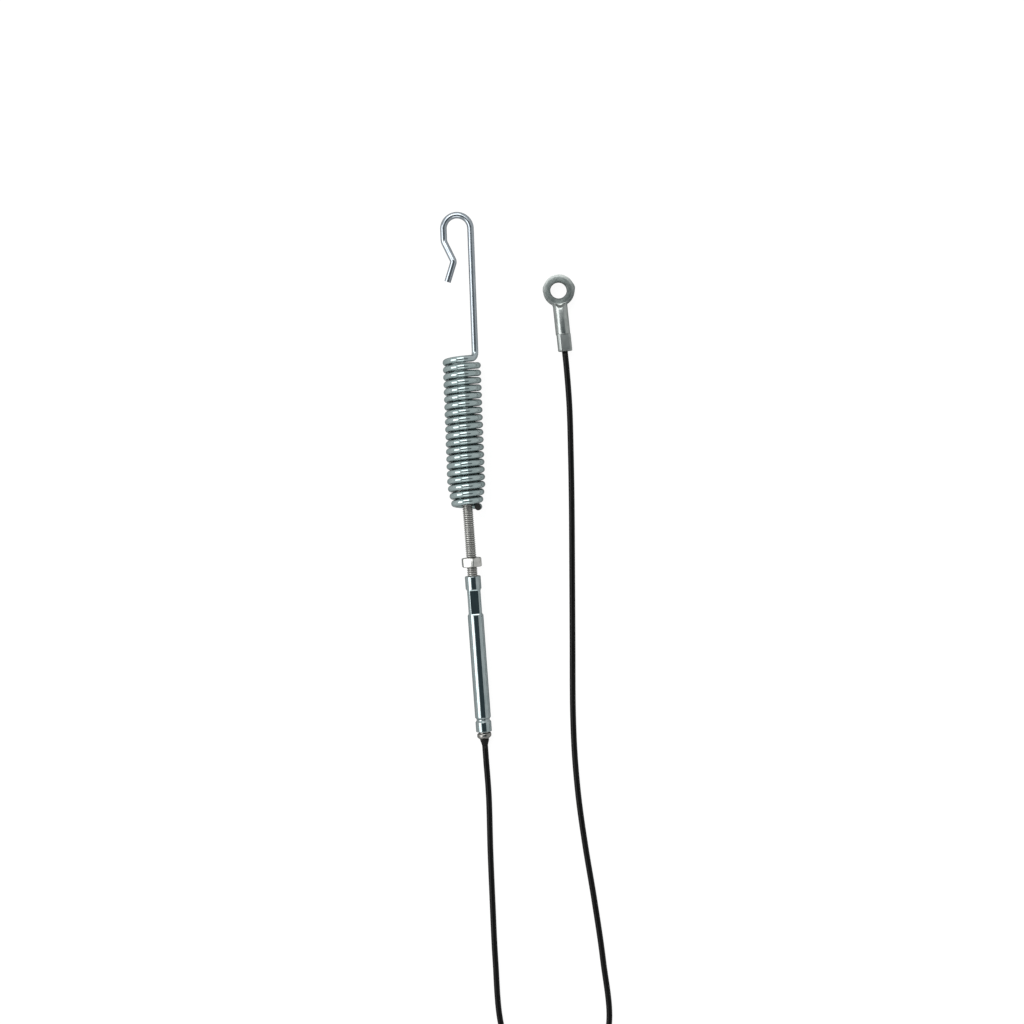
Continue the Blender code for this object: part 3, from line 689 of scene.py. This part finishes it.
spring_line, spring_radii = eased_ends(hook_wire_line())
coiled_length = tau * (
    COIL_RADIUS * (COIL_TURNS - CONE_TURNS) + (COIL_RADIUS + CONE_END_RADIUS) / 2 * CONE_TURNS
)
zinc = bright_zinc(coiled_length)
spring = swept("hook_spring_wire", spring_line, WIRE_RADIUS, 28, True, zinc, spring_radii)
# Faces of more than four corners are the wire's filled ends; they get the near-black steel, painted
# shade.
spring.data.materials.append(shaded_cut_end())
for face in spring.data.polygons:
    face.material_index = 1 if len(face.vertices) > 4 else 0
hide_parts("hook_spring")
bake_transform(spring)

# Adjusting screw
# A quarter inch hex head screw, threaded to its head, cut from plain zinc plated steel. Its head
# sits inside the coned turns, and the barrel and jam nut run on its thread.
THREAD_PITCH = 0.00127
THREAD_CREST_RADIUS = 0.003175
THREAD_DEPTH = 0.00052
STUD_LENGTH = 0.0762
STUD_TIP_CHAMFER = 0.0009
HEX_ACROSS_FLATS = 0.01111
HEAD_HEIGHT = 0.0040
HEX_CORNER_RADIUS = HEX_ACROSS_FLATS / sqrt(3)
HEX_CHAMFER_SLOPE = tan(radians(30))
THREAD_TURNS = 64
THREAD_SIDES = 40
CLEAR = 0.0003
DEBURRING = 0.00012
HERE = Matrix.Identity(4)


def thread_tree():
    """Node tree that winds a grid into a screw thread: rows follow the crest, 8 to a pitch."""
    tree, given, ids = new_tree("wound_thread", "GeometryNodeTree", {
        "Blank": "Geometry", "Pitch": "Float", "Crest radius": "Float", "Depth": "Float",
        "Turns": "Int", "Sides": "Int",
    }, {"Thread": "Geometry"})
    grid = node(tree, "GeometryNodeMeshGrid", {
        "Vertices X": calc(tree, "ADD", given["Sides"], 1.0),
        "Vertices Y": calc(tree, "MULTIPLY_ADD", given["Turns"], 8.0, 1.0),
    })
    apart = parts(tree, node(tree, "GeometryNodeInputPosition"))
    around = calc(tree, "ADD", apart["X"], 0.5)
    row = calc(tree, "MULTIPLY", calc(tree, "MULTIPLY", apart["Y"], -1.0), given["Turns"])
    wave = calc(tree, "PINGPONG", calc(tree, "ADD", row, 0.5), 0.5)
    cut = calc(tree, "MULTIPLY", spread(tree, wave, 0.0, 1.0, 0.10, 0.42), given["Depth"])
    radius = calc(tree, "SUBTRACT", given["Crest radius"], cut)
    angle = calc(tree, "MULTIPLY", around, tau)
    wound = joined(
        tree, calc(tree, "MULTIPLY", radius, calc(tree, "COSINE", angle)),
        calc(tree, "MULTIPLY", radius, calc(tree, "SINE", angle)),
        calc(tree, "MULTIPLY", calc(tree, "SUBTRACT", row, around), given["Pitch"]),
    )
    move = node(tree, "GeometryNodeSetPosition", {"Geometry": grid, "Position": wound})
    weld = node(tree, "GeometryNodeMergeByDistance", {"Geometry": move, "Distance": 0.00001})
    real = node(tree, "GeometryNodeRealizeInstances", {"Geometry": weld})
    node(tree, "NodeGroupOutput", {"Thread": real})
    return tree, ids


def turned_mesh(name, corners, sides, steps=6, closed=False):
    """Turns an outline of (radius, height, fillet) corners, down its outer side, around Z."""
    line = filleted([((radius, 0.0, height), fillet) for radius, height, fillet in corners], steps)
    turns = [tau * side / sides for side in range(sides)]
    shape = bmesh.new()
    rings = []
    for point in line:
        if point.x < 1e-7:
            rings.append([shape.verts.new((0.0, 0.0, point.z))])
            continue
        rings.append([
            shape.verts.new((point.x * cos(turn), point.x * sin(turn), point.z))
            for turn in turns
        ])
    if closed:
        rings.append(rings[0])
    for upper, lower in zip(rings, rings[1:]):
        for side in range(sides if len(upper) + len(lower) > 2 else 0):
            after = (side + 1) % sides
            corner = [upper[side % len(upper)], lower[side % len(lower)]]
            corner += [lower[after % len(lower)], upper[after % len(upper)]]
            shape.faces.new(tuple(dict.fromkeys(corner)))
    bmesh.ops.recalc_face_normals(shape, faces=shape.faces)
    return written(shape, bpy.data.meshes.new(name))


def bevelled(mesh, chosen, offset, segments, **more):
    """Rounds the edges of a mesh whose two ends pass a test."""
    shape = bmesh.new()
    shape.from_mesh(mesh)
    edges = [edge for edge in shape.edges if chosen(edge.verts[0].co, edge.verts[1].co)]
    bmesh.ops.bevel(
        shape, geom=edges, offset=offset, segments=segments, profile=0.5, affect="EDGES", **more,
    )
    return written(shape, mesh)


def hexagon_mesh(name, top, bottom, rounding):
    """Upright hexagon with a corner on +X and slightly rounded upright edges."""
    shape = bmesh.new()
    bmesh.ops.create_cone(
        shape, cap_ends=True, segments=6, radius1=HEX_CORNER_RADIUS, radius2=HEX_CORNER_RADIUS,
        depth=top - bottom, matrix=Matrix.Translation((0.0, 0.0, (top + bottom) / 2)),
    )
    bmesh.ops.rotate(shape, verts=shape.verts, matrix=Matrix.Rotation(pi / 2, 3, "Z"))
    mesh = written(shape, bpy.data.meshes.new(name))
    half = (top - bottom) / 2
    return bevelled(mesh, lambda one, other: abs(one.z - other.z) > half, rounding, 3)


def worked(blank, *tools):
    """Applies (operation, tool mesh, place) steps to a blank and returns one plain mesh."""
    body = link("blank", blank)
    helpers = []
    for operation, tool_mesh, place in tools:
        tool = link("tool", tool_mesh)
        tool.matrix_world = place
        step = body.modifiers.new("step", "BOOLEAN")
        step.object = tool
        step.operation = operation
        step.solver = "EXACT"
        helpers.append(tool)
    mesh = made_mesh(body)
    for helper in helpers:
        bpy.data.objects.remove(helper, do_unlink=True)
    shape = bmesh.new()
    shape.from_mesh(mesh)
    bmesh.ops.remove_doubles(shape, verts=shape.verts, dist=1e-6)
    bmesh.ops.dissolve_degenerate(shape, edges=shape.edges, dist=1e-6)
    return written(shape, mesh)


def softened(mesh):
    """Rounds the sharp edges of a mesh a little, as deburring and plating do."""
    body = link("soft_blank", mesh)
    edge = body.modifiers.new("edge", "BEVEL")
    edge.width = DEBURRING
    edge.segments = 2
    edge.limit_method = "ANGLE"
    edge.angle_limit = radians(25)
    return made_mesh(body)


def placed(name, mesh, place, material, angle=32.0):
    """Notes each point's own place on the piece, moves the mesh into place and links it."""
    mesh.name = name
    own = mesh.attributes.new("own_place", "FLOAT_VECTOR", "POINT")
    for vertex, item in zip(mesh.vertices, own.data):
        item.vector = vertex.co
    mesh.transform(place)
    smooth(mesh, angle)
    mesh.materials.clear()
    return link(name, mesh, material)


def from_axis(tree, first, second):
    """Distance from the axis that two coordinates are measured from."""
    flat = joined(tree, first, second)
    return node(tree, "ShaderNodeVectorMath", {0: flat}, operation="LENGTH").outputs["Value"]


def screw_steel(name, metal, root_shading, smoothest, roughest):
    """Plain zinc, warm grey with dark specks; with root shading on, the thread's root is darkened
    as painted shade with some grime.
    """
    material, tree, uneven = new_finish(name, "own_place", 300.0, 3500.0, 6.0)
    cloud = spread(tree, uneven["Blotch"], 0.0, 1.0)
    tone = mixed(tree, cloud, (0.36, 0.36, 0.345), (0.46, 0.46, 0.442))
    specks = spread(tree, uneven["Grain"], 0.0, 0.4, 0.56, 0.75)
    tone = mixed(tree, specks, tone, (0.15, 0.15, 0.14))
    own = noted(tree, "own_place")
    # Painted shade in the thread's root, partly grime: dark below the crest along the shank, not on
    # the head.
    root = spread(tree, from_axis(tree, own["X"], own["Y"]), root_shading, 0.0, 0.00264, 0.00286)
    root_shade_and_grime = calc(tree, "MULTIPLY", root, spread(tree, own["Z"], 1.0, 0.0, -0.0004, 0.0))
    return dressed(material, {
        "Metallic": metal, "Specular Tint": EDGE_TINT,
        "Base Color": mixed(tree, root_shade_and_grime, tone, (0.09, 0.09, 0.085)),
        "Roughness": spread(tree, uneven["Grain"], smoothest, roughest),
        "Normal": relief(tree, uneven["Grain"], 0.25, 0.00002),
    })


def hex_corner_tool(top, bottom, both_ends):
    """Turned form that takes the corners off the ends of a hexagon."""
    face = HEX_ACROSS_FLATS / 2 * 0.97
    rim = HEX_CORNER_RADIUS + CLEAR
    corners = [
        (0.0, top + CLEAR, 0.0), (face - CLEAR / HEX_CHAMFER_SLOPE, top + CLEAR, 0.0),
        (rim, top - (rim - face) * HEX_CHAMFER_SLOPE, 0.0),
    ]
    if both_ends:
        corners.extend((radius, top + bottom - height, 0.0) for radius, height, _ in corners[::-1])
    else:
        corners.extend([(rim, bottom - CLEAR, 0.0), (0.0, bottom - CLEAR, 0.0)])
    return turned_mesh("corner_tool", corners, 96)


def cut_screw():
    """Rolls the thread, cuts it to length and sets the hex head on it."""
    seed = link("thread_seed", bpy.data.meshes.new("thread_seed"))
    thread = grown(seed, *thread_tree(), {
        "Pitch": THREAD_PITCH, "Crest radius": THREAD_CREST_RADIUS, "Depth": THREAD_DEPTH,
        "Turns": THREAD_TURNS, "Sides": THREAD_SIDES,
    })
    shape = bmesh.new()
    shape.from_mesh(thread)
    bmesh.ops.holes_fill(shape, edges=[edge for edge in shape.edges if edge.is_boundary], sides=0)
    bmesh.ops.translate(shape, verts=shape.verts, vec=(0.0, 0.0, -STUD_LENGTH / 2))
    bmesh.ops.recalc_face_normals(shape, faces=shape.faces)
    written(shape, thread)
    crest = THREAD_CREST_RADIUS + 0.0002
    length_form = turned_mesh("length_form", [
        (0.0, HEAD_HEIGHT / 2, 0.0), (crest, HEAD_HEIGHT / 2, 0.0),
        (crest, STUD_TIP_CHAMFER - STUD_LENGTH, 0.0),
        (THREAD_CREST_RADIUS - STUD_TIP_CHAMFER, -STUD_LENGTH, 0.0), (0.0, -STUD_LENGTH, 0.0),
    ], 64)
    shank = worked(thread, ("INTERSECT", length_form, HERE))
    head = worked(
        hexagon_mesh("head", HEAD_HEIGHT, 0.0, 0.0002),
        ("INTERSECT", hex_corner_tool(HEAD_HEIGHT, 0.0, False), HERE),
    )
    return worked(softened(head), ("UNION", shank, HERE))


# Root shading on: the screw's thread root gets painted shade.
screw_finish = screw_steel("plain_screw_steel", 0.6, 1.0, 0.14, 0.24)
screw = placed("adjuster_stud_thread", cut_screw(), ADJUSTER, screw_finish)
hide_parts("adjuster_stud")
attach(screw, "stud")

# Jam nut
# A seven sixteenths hex nut on the screw, chamfered on both faces, that locks the barrel.
BARREL_TOP = -0.0504
NUT_GAP = 0.0055
NUT_HEIGHT = 0.00556
NUT_TURN = radians(-19)
THREAD_BORE_RADIUS = 0.00325
BORE_MOUTH = 0.0006


def jam_nut():
    """Hex blank with chamfered corners and a countersunk bore."""
    bottom = BARREL_TOP + NUT_GAP
    top = bottom + NUT_HEIGHT
    wide = THREAD_BORE_RADIUS + 2 * BORE_MOUTH
    bore = turned_mesh("nut_bore", [
        (0.0, top + BORE_MOUTH, 0.0), (wide, top + BORE_MOUTH, 0.0),
        (THREAD_BORE_RADIUS, top - BORE_MOUTH, 0.0),
        (THREAD_BORE_RADIUS, bottom + BORE_MOUTH, 0.0),
        (wide, bottom - BORE_MOUTH, 0.0), (0.0, bottom - BORE_MOUTH, 0.0),
    ], 64)
    blank = hexagon_mesh("nut", top, bottom, 0.00025)
    blank.transform(Matrix.Rotation(NUT_TURN, 4, "Z"))
    return softened(worked(
        blank, ("INTERSECT", hex_corner_tool(top, bottom, True), HERE), ("DIFFERENCE", bore, HERE),
    ))


nut_finish = screw_steel("plain_nut_steel", 1.0, 0.0, 0.12, 0.20)
nut = placed("jam_nut_hexagon", jam_nut(), ADJUSTER, nut_finish)
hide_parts("jam_nut")
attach(nut, "nut")

# Adjuster barrel
# Turned from three eighths bar and plated bright: tapped at its top, four milled wrench flats,
# and a groove rolled in near its lower end to hold the ferrule inside.
BARREL_RADIUS = 0.00476
BARREL_LENGTH = 0.0943
BARREL_WALL = 0.00126
BARREL_THREAD_DEPTH = 0.0250
FLATS_TOP = 0.0076
FLATS_LENGTH = 0.0161
FLATS_DEPTH = 0.00072
FLATS_RUNOUT_RADIUS = 0.0016
FLATS_TURN = radians(2)
GROOVE_ABOVE_END = 0.0073
GROOVE_DEPTH = 0.0008
GROOVE_HALF_WIDTH = 0.0014
GROOVE_FLOOR_HALF_WIDTH = 0.0004
TAIL_ROUNDING = 0.0004


def prism(name, outline, near, far):
    """Solid of an (X, Z) outline between two heights, with Y downwards."""
    shape = bmesh.new()
    face = shape.faces.new([shape.verts.new((x, near, z)) for x, z in outline])
    made = bmesh.ops.extrude_face_region(shape, geom=[face])
    moved = [item for item in made["geom"] if isinstance(item, bmesh.types.BMVert)]
    bmesh.ops.translate(shape, verts=moved, vec=(0.0, far - near, 0.0))
    bmesh.ops.recalc_face_normals(shape, faces=shape.faces)
    return written(shape, bpy.data.meshes.new(name))


def flat_tool():
    """Milling cut for one wrench flat, with a curved run-out at each end."""
    floor = BARREL_RADIUS - FLATS_DEPTH
    outer = BARREL_RADIUS + FLATS_RUNOUT_RADIUS
    run = outer - floor
    top = BARREL_TOP - FLATS_TOP
    bottom = top - FLATS_LENGTH
    side = filleted([
        ((outer, 0.0, top + run - FLATS_DEPTH), 0.0),
        ((floor, 0.0, top - FLATS_DEPTH), FLATS_RUNOUT_RADIUS),
        ((floor, 0.0, bottom + FLATS_DEPTH), FLATS_RUNOUT_RADIUS),
        ((outer, 0.0, bottom - run + FLATS_DEPTH), 0.0),
    ], 10)
    return prism("flat_tool", [(point.x, point.z) for point in side], -outer, outer)


def barrel_body():
    """Turned and bored barrel with its flats milled."""
    end = BARREL_TOP - BARREL_LENGTH
    groove = end + GROOVE_ABOVE_END
    bore = BARREL_RADIUS - BARREL_WALL
    inner, outer = bore - GROOVE_DEPTH, BARREL_RADIUS - GROOVE_DEPTH
    tapped = BARREL_TOP - BARREL_THREAD_DEPTH
    blank = turned_mesh("barrel_blank", [
        (THREAD_BORE_RADIUS + BORE_MOUTH, BARREL_TOP, 0.0),
        (BARREL_RADIUS, BARREL_TOP, 0.0005),
        (BARREL_RADIUS, groove + GROOVE_HALF_WIDTH, 0.0005),
        (outer, groove + GROOVE_FLOOR_HALF_WIDTH, 0.0004),
        (outer, groove - GROOVE_FLOOR_HALF_WIDTH, 0.0004),
        (BARREL_RADIUS, groove - GROOVE_HALF_WIDTH, 0.0005),
        (BARREL_RADIUS, end, TAIL_ROUNDING),
        (bore, end, 0.0),
        (bore, groove - GROOVE_HALF_WIDTH, 0.0),
        (inner, groove - GROOVE_FLOOR_HALF_WIDTH, 0.0),
        (inner, groove + GROOVE_FLOOR_HALF_WIDTH, 0.0),
        (bore, groove + GROOVE_HALF_WIDTH, 0.0),
        (bore, tapped, 0.0),
        (THREAD_BORE_RADIUS, tapped + BORE_MOUTH, 0.0),
        (THREAD_BORE_RADIUS, BARREL_TOP - BORE_MOUTH, 0.0),
    ], 96, closed=True)
    return worked(blank, *(
        ("DIFFERENCE", flat_tool(), Matrix.Rotation(FLATS_TURN + side * pi / 2, 4, "Z"))
        for side in range(4)
    ))


def plated_barrel():
    """Bright zinc over drawn bar, with the bar's faint lines along it."""
    material, tree, uneven = new_finish("bright_zinc_barrel", "own_place", 160.0, 2600.0, 14.0)
    cloud = spread(tree, uneven["Blotch"], 0.0, 1.0)
    tone = mixed(tree, cloud, (0.265, 0.315, 0.320), (0.330, 0.375, 0.380))
    lines = spread(tree, uneven["Streak"], 0.0, 0.5, 0.50, 0.70)
    return dressed(material, {
        "Metallic": 1.0, "Specular Tint": EDGE_TINT,
        "Base Color": mixed(tree, lines, tone, (0.170, 0.215, 0.225)),
        "Roughness": spread(tree, uneven["Grain"], 0.07, 0.13),
        "Normal": relief(tree, uneven["Grain"], 0.15, 0.00002),
    })


barrel = placed("adjuster_barrel_body", barrel_body(), ADJUSTER, plated_barrel(), 30.0)
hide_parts("adjuster_barrel")
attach(barrel, "barrel")

# Swivel ferrule
# Swaged on the end of the rope. Its head and neck are held in the barrel by the rolled groove,
# and its flange closes the barrel's lower end.
FERRULE_HEAD_LENGTH = 0.0090
FLANGE_RADIUS = 0.0043
FLANGE_THICKNESS = 0.0034
FLANGE_FOOT_RADIUS = 0.0030
FLANGE_CROOK = 0.06
ROPE_BORE_RADIUS = 0.0013
FIT_GAP = 0.0003


def ferrule_body():
    """Turned head, neck and flange; the flange sits a little crooked on its neck."""
    groove = BARREL_TOP - BARREL_LENGTH + GROOVE_ABOVE_END
    body = BARREL_RADIUS - BARREL_WALL - FIT_GAP
    neck = body - GROOVE_DEPTH
    above = groove + GROOVE_HALF_WIDTH + FIT_GAP
    mesh = turned_mesh("ferrule", [
        (ROPE_BORE_RADIUS, above + FERRULE_HEAD_LENGTH, 0.0),
        (body, above + FERRULE_HEAD_LENGTH, 0.0004),
        (body, above, 0.0),
        (neck, groove + GROOVE_FLOOR_HALF_WIDTH, 0.0),
        (neck, groove - GROOVE_FLOOR_HALF_WIDTH, 0.0),
        (body, groove - GROOVE_HALF_WIDTH - FIT_GAP, 0.0),
        (body, FLANGE_BOTTOM + FLANGE_THICKNESS, 0.0),
        (FLANGE_RADIUS, FLANGE_BOTTOM + FLANGE_THICKNESS, 0.0008),
        (FLANGE_RADIUS, FLANGE_BOTTOM + 0.0012, 0.0008),
        (FLANGE_FOOT_RADIUS, FLANGE_BOTTOM, 0.0004),
        (ROPE_BORE_RADIUS, FLANGE_BOTTOM, 0.0),
    ], 72, closed=True)
    for vertex in mesh.vertices:
        if vertex.co.z < FLANGE_BOTTOM + FLANGE_THICKNESS + 0.0001:
            vertex.co.z += vertex.co.x * FLANGE_CROOK
    return mesh


def swaged_zinc():
    """Plating dulled and browned by swaging and handling."""
    material, tree, uneven = new_finish("swaged_zinc", "own_place", 300.0, 2600.0, 3.0)
    cloud = spread(tree, uneven["Blotch"], 0.0, 1.0)
    return dressed(material, {
        "Metallic": 1.0, "Specular Tint": EDGE_TINT,
        "Base Color": mixed(tree, cloud, (0.180, 0.175, 0.165), (0.270, 0.264, 0.252)),
        "Roughness": spread(tree, uneven["Grain"], 0.24, 0.34),
        "Normal": relief(tree, uneven["Grain"], 0.2, 0.00002),
    })


ferrule = placed("swivel_ferrule_body", ferrule_body(), ADJUSTER, swaged_zinc(), 35.0)
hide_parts("swivel_ferrule")
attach(ferrule, "cable")

# Seal
# Short black taper that covers the rope between the ferrule and the start of the coating.
SEAL_LENGTH = 0.0037
SEAL_TOP_RADIUS = 0.0027


def seal_body():
    """Turned taper."""
    top = FLANGE_BOTTOM - FIT_GAP
    return turned_mesh("seal", [
        (ROPE_BORE_RADIUS, top, 0.0), (SEAL_TOP_RADIUS, top, 0.0003),
        (SEAL_TOP_RADIUS, top - 0.0007, 0.0010), (JACKET_RADIUS, top - SEAL_LENGTH, 0.0),
        (ROPE_BORE_RADIUS, top - SEAL_LENGTH, 0.0),
    ], 40, closed=True)


def seal_rubber():
    """Matt black rubber."""
    material, tree, uneven = new_finish("black_seal", "own_place", 400.0, 5000.0, 2.0)
    return dressed(material, {
        "Specular IOR Level": 0.11,
        "Base Color": mixed(tree, uneven["Blotch"], (0.004, 0.004, 0.004), (0.010, 0.010, 0.010)),
        "Roughness": spread(tree, uneven["Grain"], 0.45, 0.62),
        "Normal": relief(tree, uneven["Grain"], 0.3, 0.00003),
    })


seal = placed("cable_seal_taper", seal_body(), ADJUSTER, seal_rubber(), 35.0)
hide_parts("cable_seal")
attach(seal, "cable")

# Eye terminal
# Pressed from one piece of steel, zinc plated dull: a flat eye for a three eighths pin, and a
# sleeve that is crimped on the rope over its last third.
EYE_HOLE_RADIUS = 0.00495
EYE_RADIUS = 0.0095
EYE_OFFSET = 0.0002
EYE_THICKNESS = 0.0042
EYE_EDGE = 0.0012
NECK_FILLET = 0.0013
SLEEVE_RADIUS = 0.0044
SLEEVE_START = 0.0074
SHOULDER_START = 0.0089
SHOULDER_END = 0.0110
SHOULDER_MIDDLE = 0.0066
SHOULDER_LEVELS = (EYE_THICKNESS / 2 - 0.00005, SLEEVE_RADIUS + 0.0002)
CRIMP_LENGTH = 0.0102
CRIMP_ROUNDING = 0.00035
CRIMP_CORNERS = [
    (-0.0019, 0.00395), (0.00355, 0.00275), (0.00455, 0.0013), (0.0046, -0.0016),
    (0.0032, -0.0035), (-0.0015, -0.0041), (-0.0037, -0.0022), (-0.00405, 0.0004),
    (-0.00335, 0.0029),
]


def eye_outline():
    """Plan of the eye: a pressed ring with two blunt corners, and fillets into its neck."""
    reach = EYE_RADIUS + NECK_FILLET
    side = SLEEVE_RADIUS + NECK_FILLET
    fall = sqrt(reach * reach - side * side)
    end = atan2(side, -fall)
    points = []
    for step in range(97):
        angle = -end + 2 * end * step / 96
        right = exp(-((angle - radians(83)) / radians(11)) ** 2)
        left = exp(-((angle + radians(76)) / radians(11)) ** 2)
        radius = EYE_RADIUS + 0.00042 * right + 0.00032 * left
        points.append((radius * sin(angle) + EYE_OFFSET, radius * cos(angle)))
    low = atan2(fall, -side)
    fillet = []
    for step in range(1, 7):
        angle = low + (pi - low) * step / 6
        fillet.append((side + NECK_FILLET * cos(angle), -fall + NECK_FILLET * sin(angle)))
    tongue = [(0.97 * SLEEVE_RADIUS, -0.0102), (0.84 * SLEEVE_RADIUS, -0.0115)]
    points.extend(fillet + tongue)
    points.extend((-x, z) for x, z in reversed(fillet + tongue))
    return points


def pressed_eye():
    """Flat eye with a rounded rim."""
    half = EYE_THICKNESS / 2
    mesh = prism("eye", eye_outline(), -half, half)
    return bevelled(
        mesh, lambda one, other: abs(one.y - other.y) < half, EYE_EDGE, 4, clamp_overlap=True,
    )


def neck_tool():
    """Takes the start of the sleeve down to the eye's face."""
    low, high = SHOULDER_LEVELS
    near, far = 0.002 - SLEEVE_START, 0.0007 - SHOULDER_START
    mesh = prism("neck", [(low, near), (low, far), (high, far), (high, near)], -0.007, 0.007)
    mesh.transform(Matrix.Rotation(pi / 2, 4, "Z"))
    return mesh


def shoulder_tool():
    """Round hollow where the sleeve rises from the eye's face."""
    low, high = SHOULDER_LEVELS
    rim = SHOULDER_END - SHOULDER_MIDDLE + 0.0035
    return turned_mesh("shoulder", [
        (0.0, high, 0.0), (rim, high, 0.0), (rim, SLEEVE_RADIUS + 0.0001, 0.0),
        (SHOULDER_END - SHOULDER_MIDDLE, SLEEVE_RADIUS - 0.00015, 0.0018),
        (SHOULDER_START - SHOULDER_MIDDLE, low, 0.0014), (0.0, low, 0.0),
    ], 64, steps=8)


def crimp_body():
    """Crimped end of the sleeve, pressed to blunt flats."""
    middle = [(a + b) / 2 for a, b in zip(CRIMP_CORNERS[4], CRIMP_CORNERS[5])]
    corners = [((x, z, 0.0), CRIMP_ROUNDING) for x, z in CRIMP_CORNERS[5:] + CRIMP_CORNERS[:5]]
    start = ((middle[0], middle[1], 0.0), 0.0)
    ring = filleted([start, *corners, start], 3)[:-1]
    mesh = prism("crimp", [(point.x, point.y) for point in ring], 0.0, CRIMP_LENGTH)
    bevelled(mesh, lambda one, other: max(one.y, other.y) < 1e-6, 0.0004, 3)
    mesh.transform(Matrix(((1, 0, 0, 0), (0, 0, -1, 0), (0, 1, 0, -SLEEVE_END), (0, 0, 0, 1))))
    return mesh


def terminal_body():
    """Eye, sleeve, crimp and the socket for the rope."""
    half = EYE_THICKNESS / 2
    foot = -SLEEVE_END + CRIMP_LENGTH - 0.0002
    sleeve = turned_mesh("sleeve", [
        (0.0, -SLEEVE_START, 0.0), (SLEEVE_RADIUS, -SLEEVE_START, 0.0),
        (SLEEVE_RADIUS, foot, 0.0003), (0.0, foot, 0.0),
    ], 96, steps=4)
    middle = Matrix.Translation((0.0, 0.0, -SHOULDER_MIDDLE))
    shaped = worked(
        sleeve, ("DIFFERENCE", neck_tool(), HERE),
        ("DIFFERENCE", neck_tool(), Matrix.Rotation(pi, 4, "Z")),
        ("DIFFERENCE", shoulder_tool(), middle @ Matrix.Rotation(pi / 2, 4, "X")),
        ("DIFFERENCE", shoulder_tool(), middle @ Matrix.Rotation(-pi / 2, 4, "X")),
        ("UNION", crimp_body(), HERE),
    )
    hole = turned_mesh("hole", [
        (0.0, 0.004, 0.0), (EYE_HOLE_RADIUS + 0.0019, half + 0.0016, 0.0),
        (EYE_HOLE_RADIUS, half - 0.0003, 0.0), (EYE_HOLE_RADIUS, 0.0003 - half, 0.0),
        (EYE_HOLE_RADIUS + 0.0019, -half - 0.0016, 0.0), (0.0, -0.004, 0.0),
    ], 96)
    socket = turned_mesh("socket", [
        (0.0, ROPE_SOCKET_DEPTH - SLEEVE_END, 0.0),
        (ROPE_BORE_RADIUS, ROPE_SOCKET_DEPTH - SLEEVE_END, 0.0),
        (ROPE_BORE_RADIUS, -SLEEVE_END - 0.002, 0.0), (0.0, -SLEEVE_END - 0.002, 0.0),
    ], 32)
    lying = Matrix.Rotation(pi / 2, 4, "X")
    return worked(
        pressed_eye(), ("UNION", shaped, HERE), ("DIFFERENCE", hole, lying),
        ("DIFFERENCE", socket, HERE),
    )


def dull_zinc():
    """Dull zinc over pressed steel with a fine cast-like grain; the eye's flat face is painted
    darker as shade, and its rounded rim keeps a lighter tone.
    """
    material, tree, uneven = new_finish("dull_zinc_terminal", "own_place", 260.0, 2800.0, 3.0)
    own = noted(tree, "own_place")
    on_eye = spread(tree, own["Z"], 0.0, 1.0, -0.0100, -0.0085)
    off_rim = spread(tree, from_axis(tree, own["X"], own["Z"]), 1.0, 0.0, 0.0078, 0.0086)
    face = calc(tree, "MULTIPLY", on_eye, off_rim)
    rim = calc(tree, "SUBTRACT", on_eye, face)
    cloud = spread(tree, uneven["Blotch"], 0.0, 1.0)
    tone = mixed(tree, cloud, (0.270, 0.290, 0.282), (0.345, 0.365, 0.357))
    # Painted shade: the eye's flat face gets a darker copy of the zinc tone; the rim keeps a
    # lighter plain tone.
    face_shade_tone = mixed(tree, cloud, (0.110, 0.130, 0.125), (0.185, 0.205, 0.198))
    tone = mixed(tree, rim, mixed(tree, face, tone, face_shade_tone), (0.29, 0.31, 0.30))
    specks = spread(tree, uneven["Grain"], 0.0, 0.4, 0.55, 0.75)
    crimp_top = CRIMP_LENGTH - SLEEVE_END
    crimped = spread(tree, own["Z"], 0.10, 0.0, crimp_top - 0.0004, crimp_top + 0.0004)
    duller = calc(tree, "ADD", calc(tree, "MULTIPLY", face, 0.05), crimped)
    return dressed(material, {
        "Metallic": 1.0, "Specular Tint": EDGE_TINT,
        "Base Color": mixed(tree, specks, tone, (0.12, 0.135, 0.13)),
        "Roughness": calc(tree, "ADD", spread(tree, uneven["Grain"], 0.26, 0.36), duller),
        "Normal": relief(tree, uneven["Grain"], 0.45, 0.00004),
    })


terminal = placed("eye_terminal_body", terminal_body(), TERMINAL, dull_zinc(), 30.0)
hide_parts("eye_terminal")
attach(terminal, "cable")
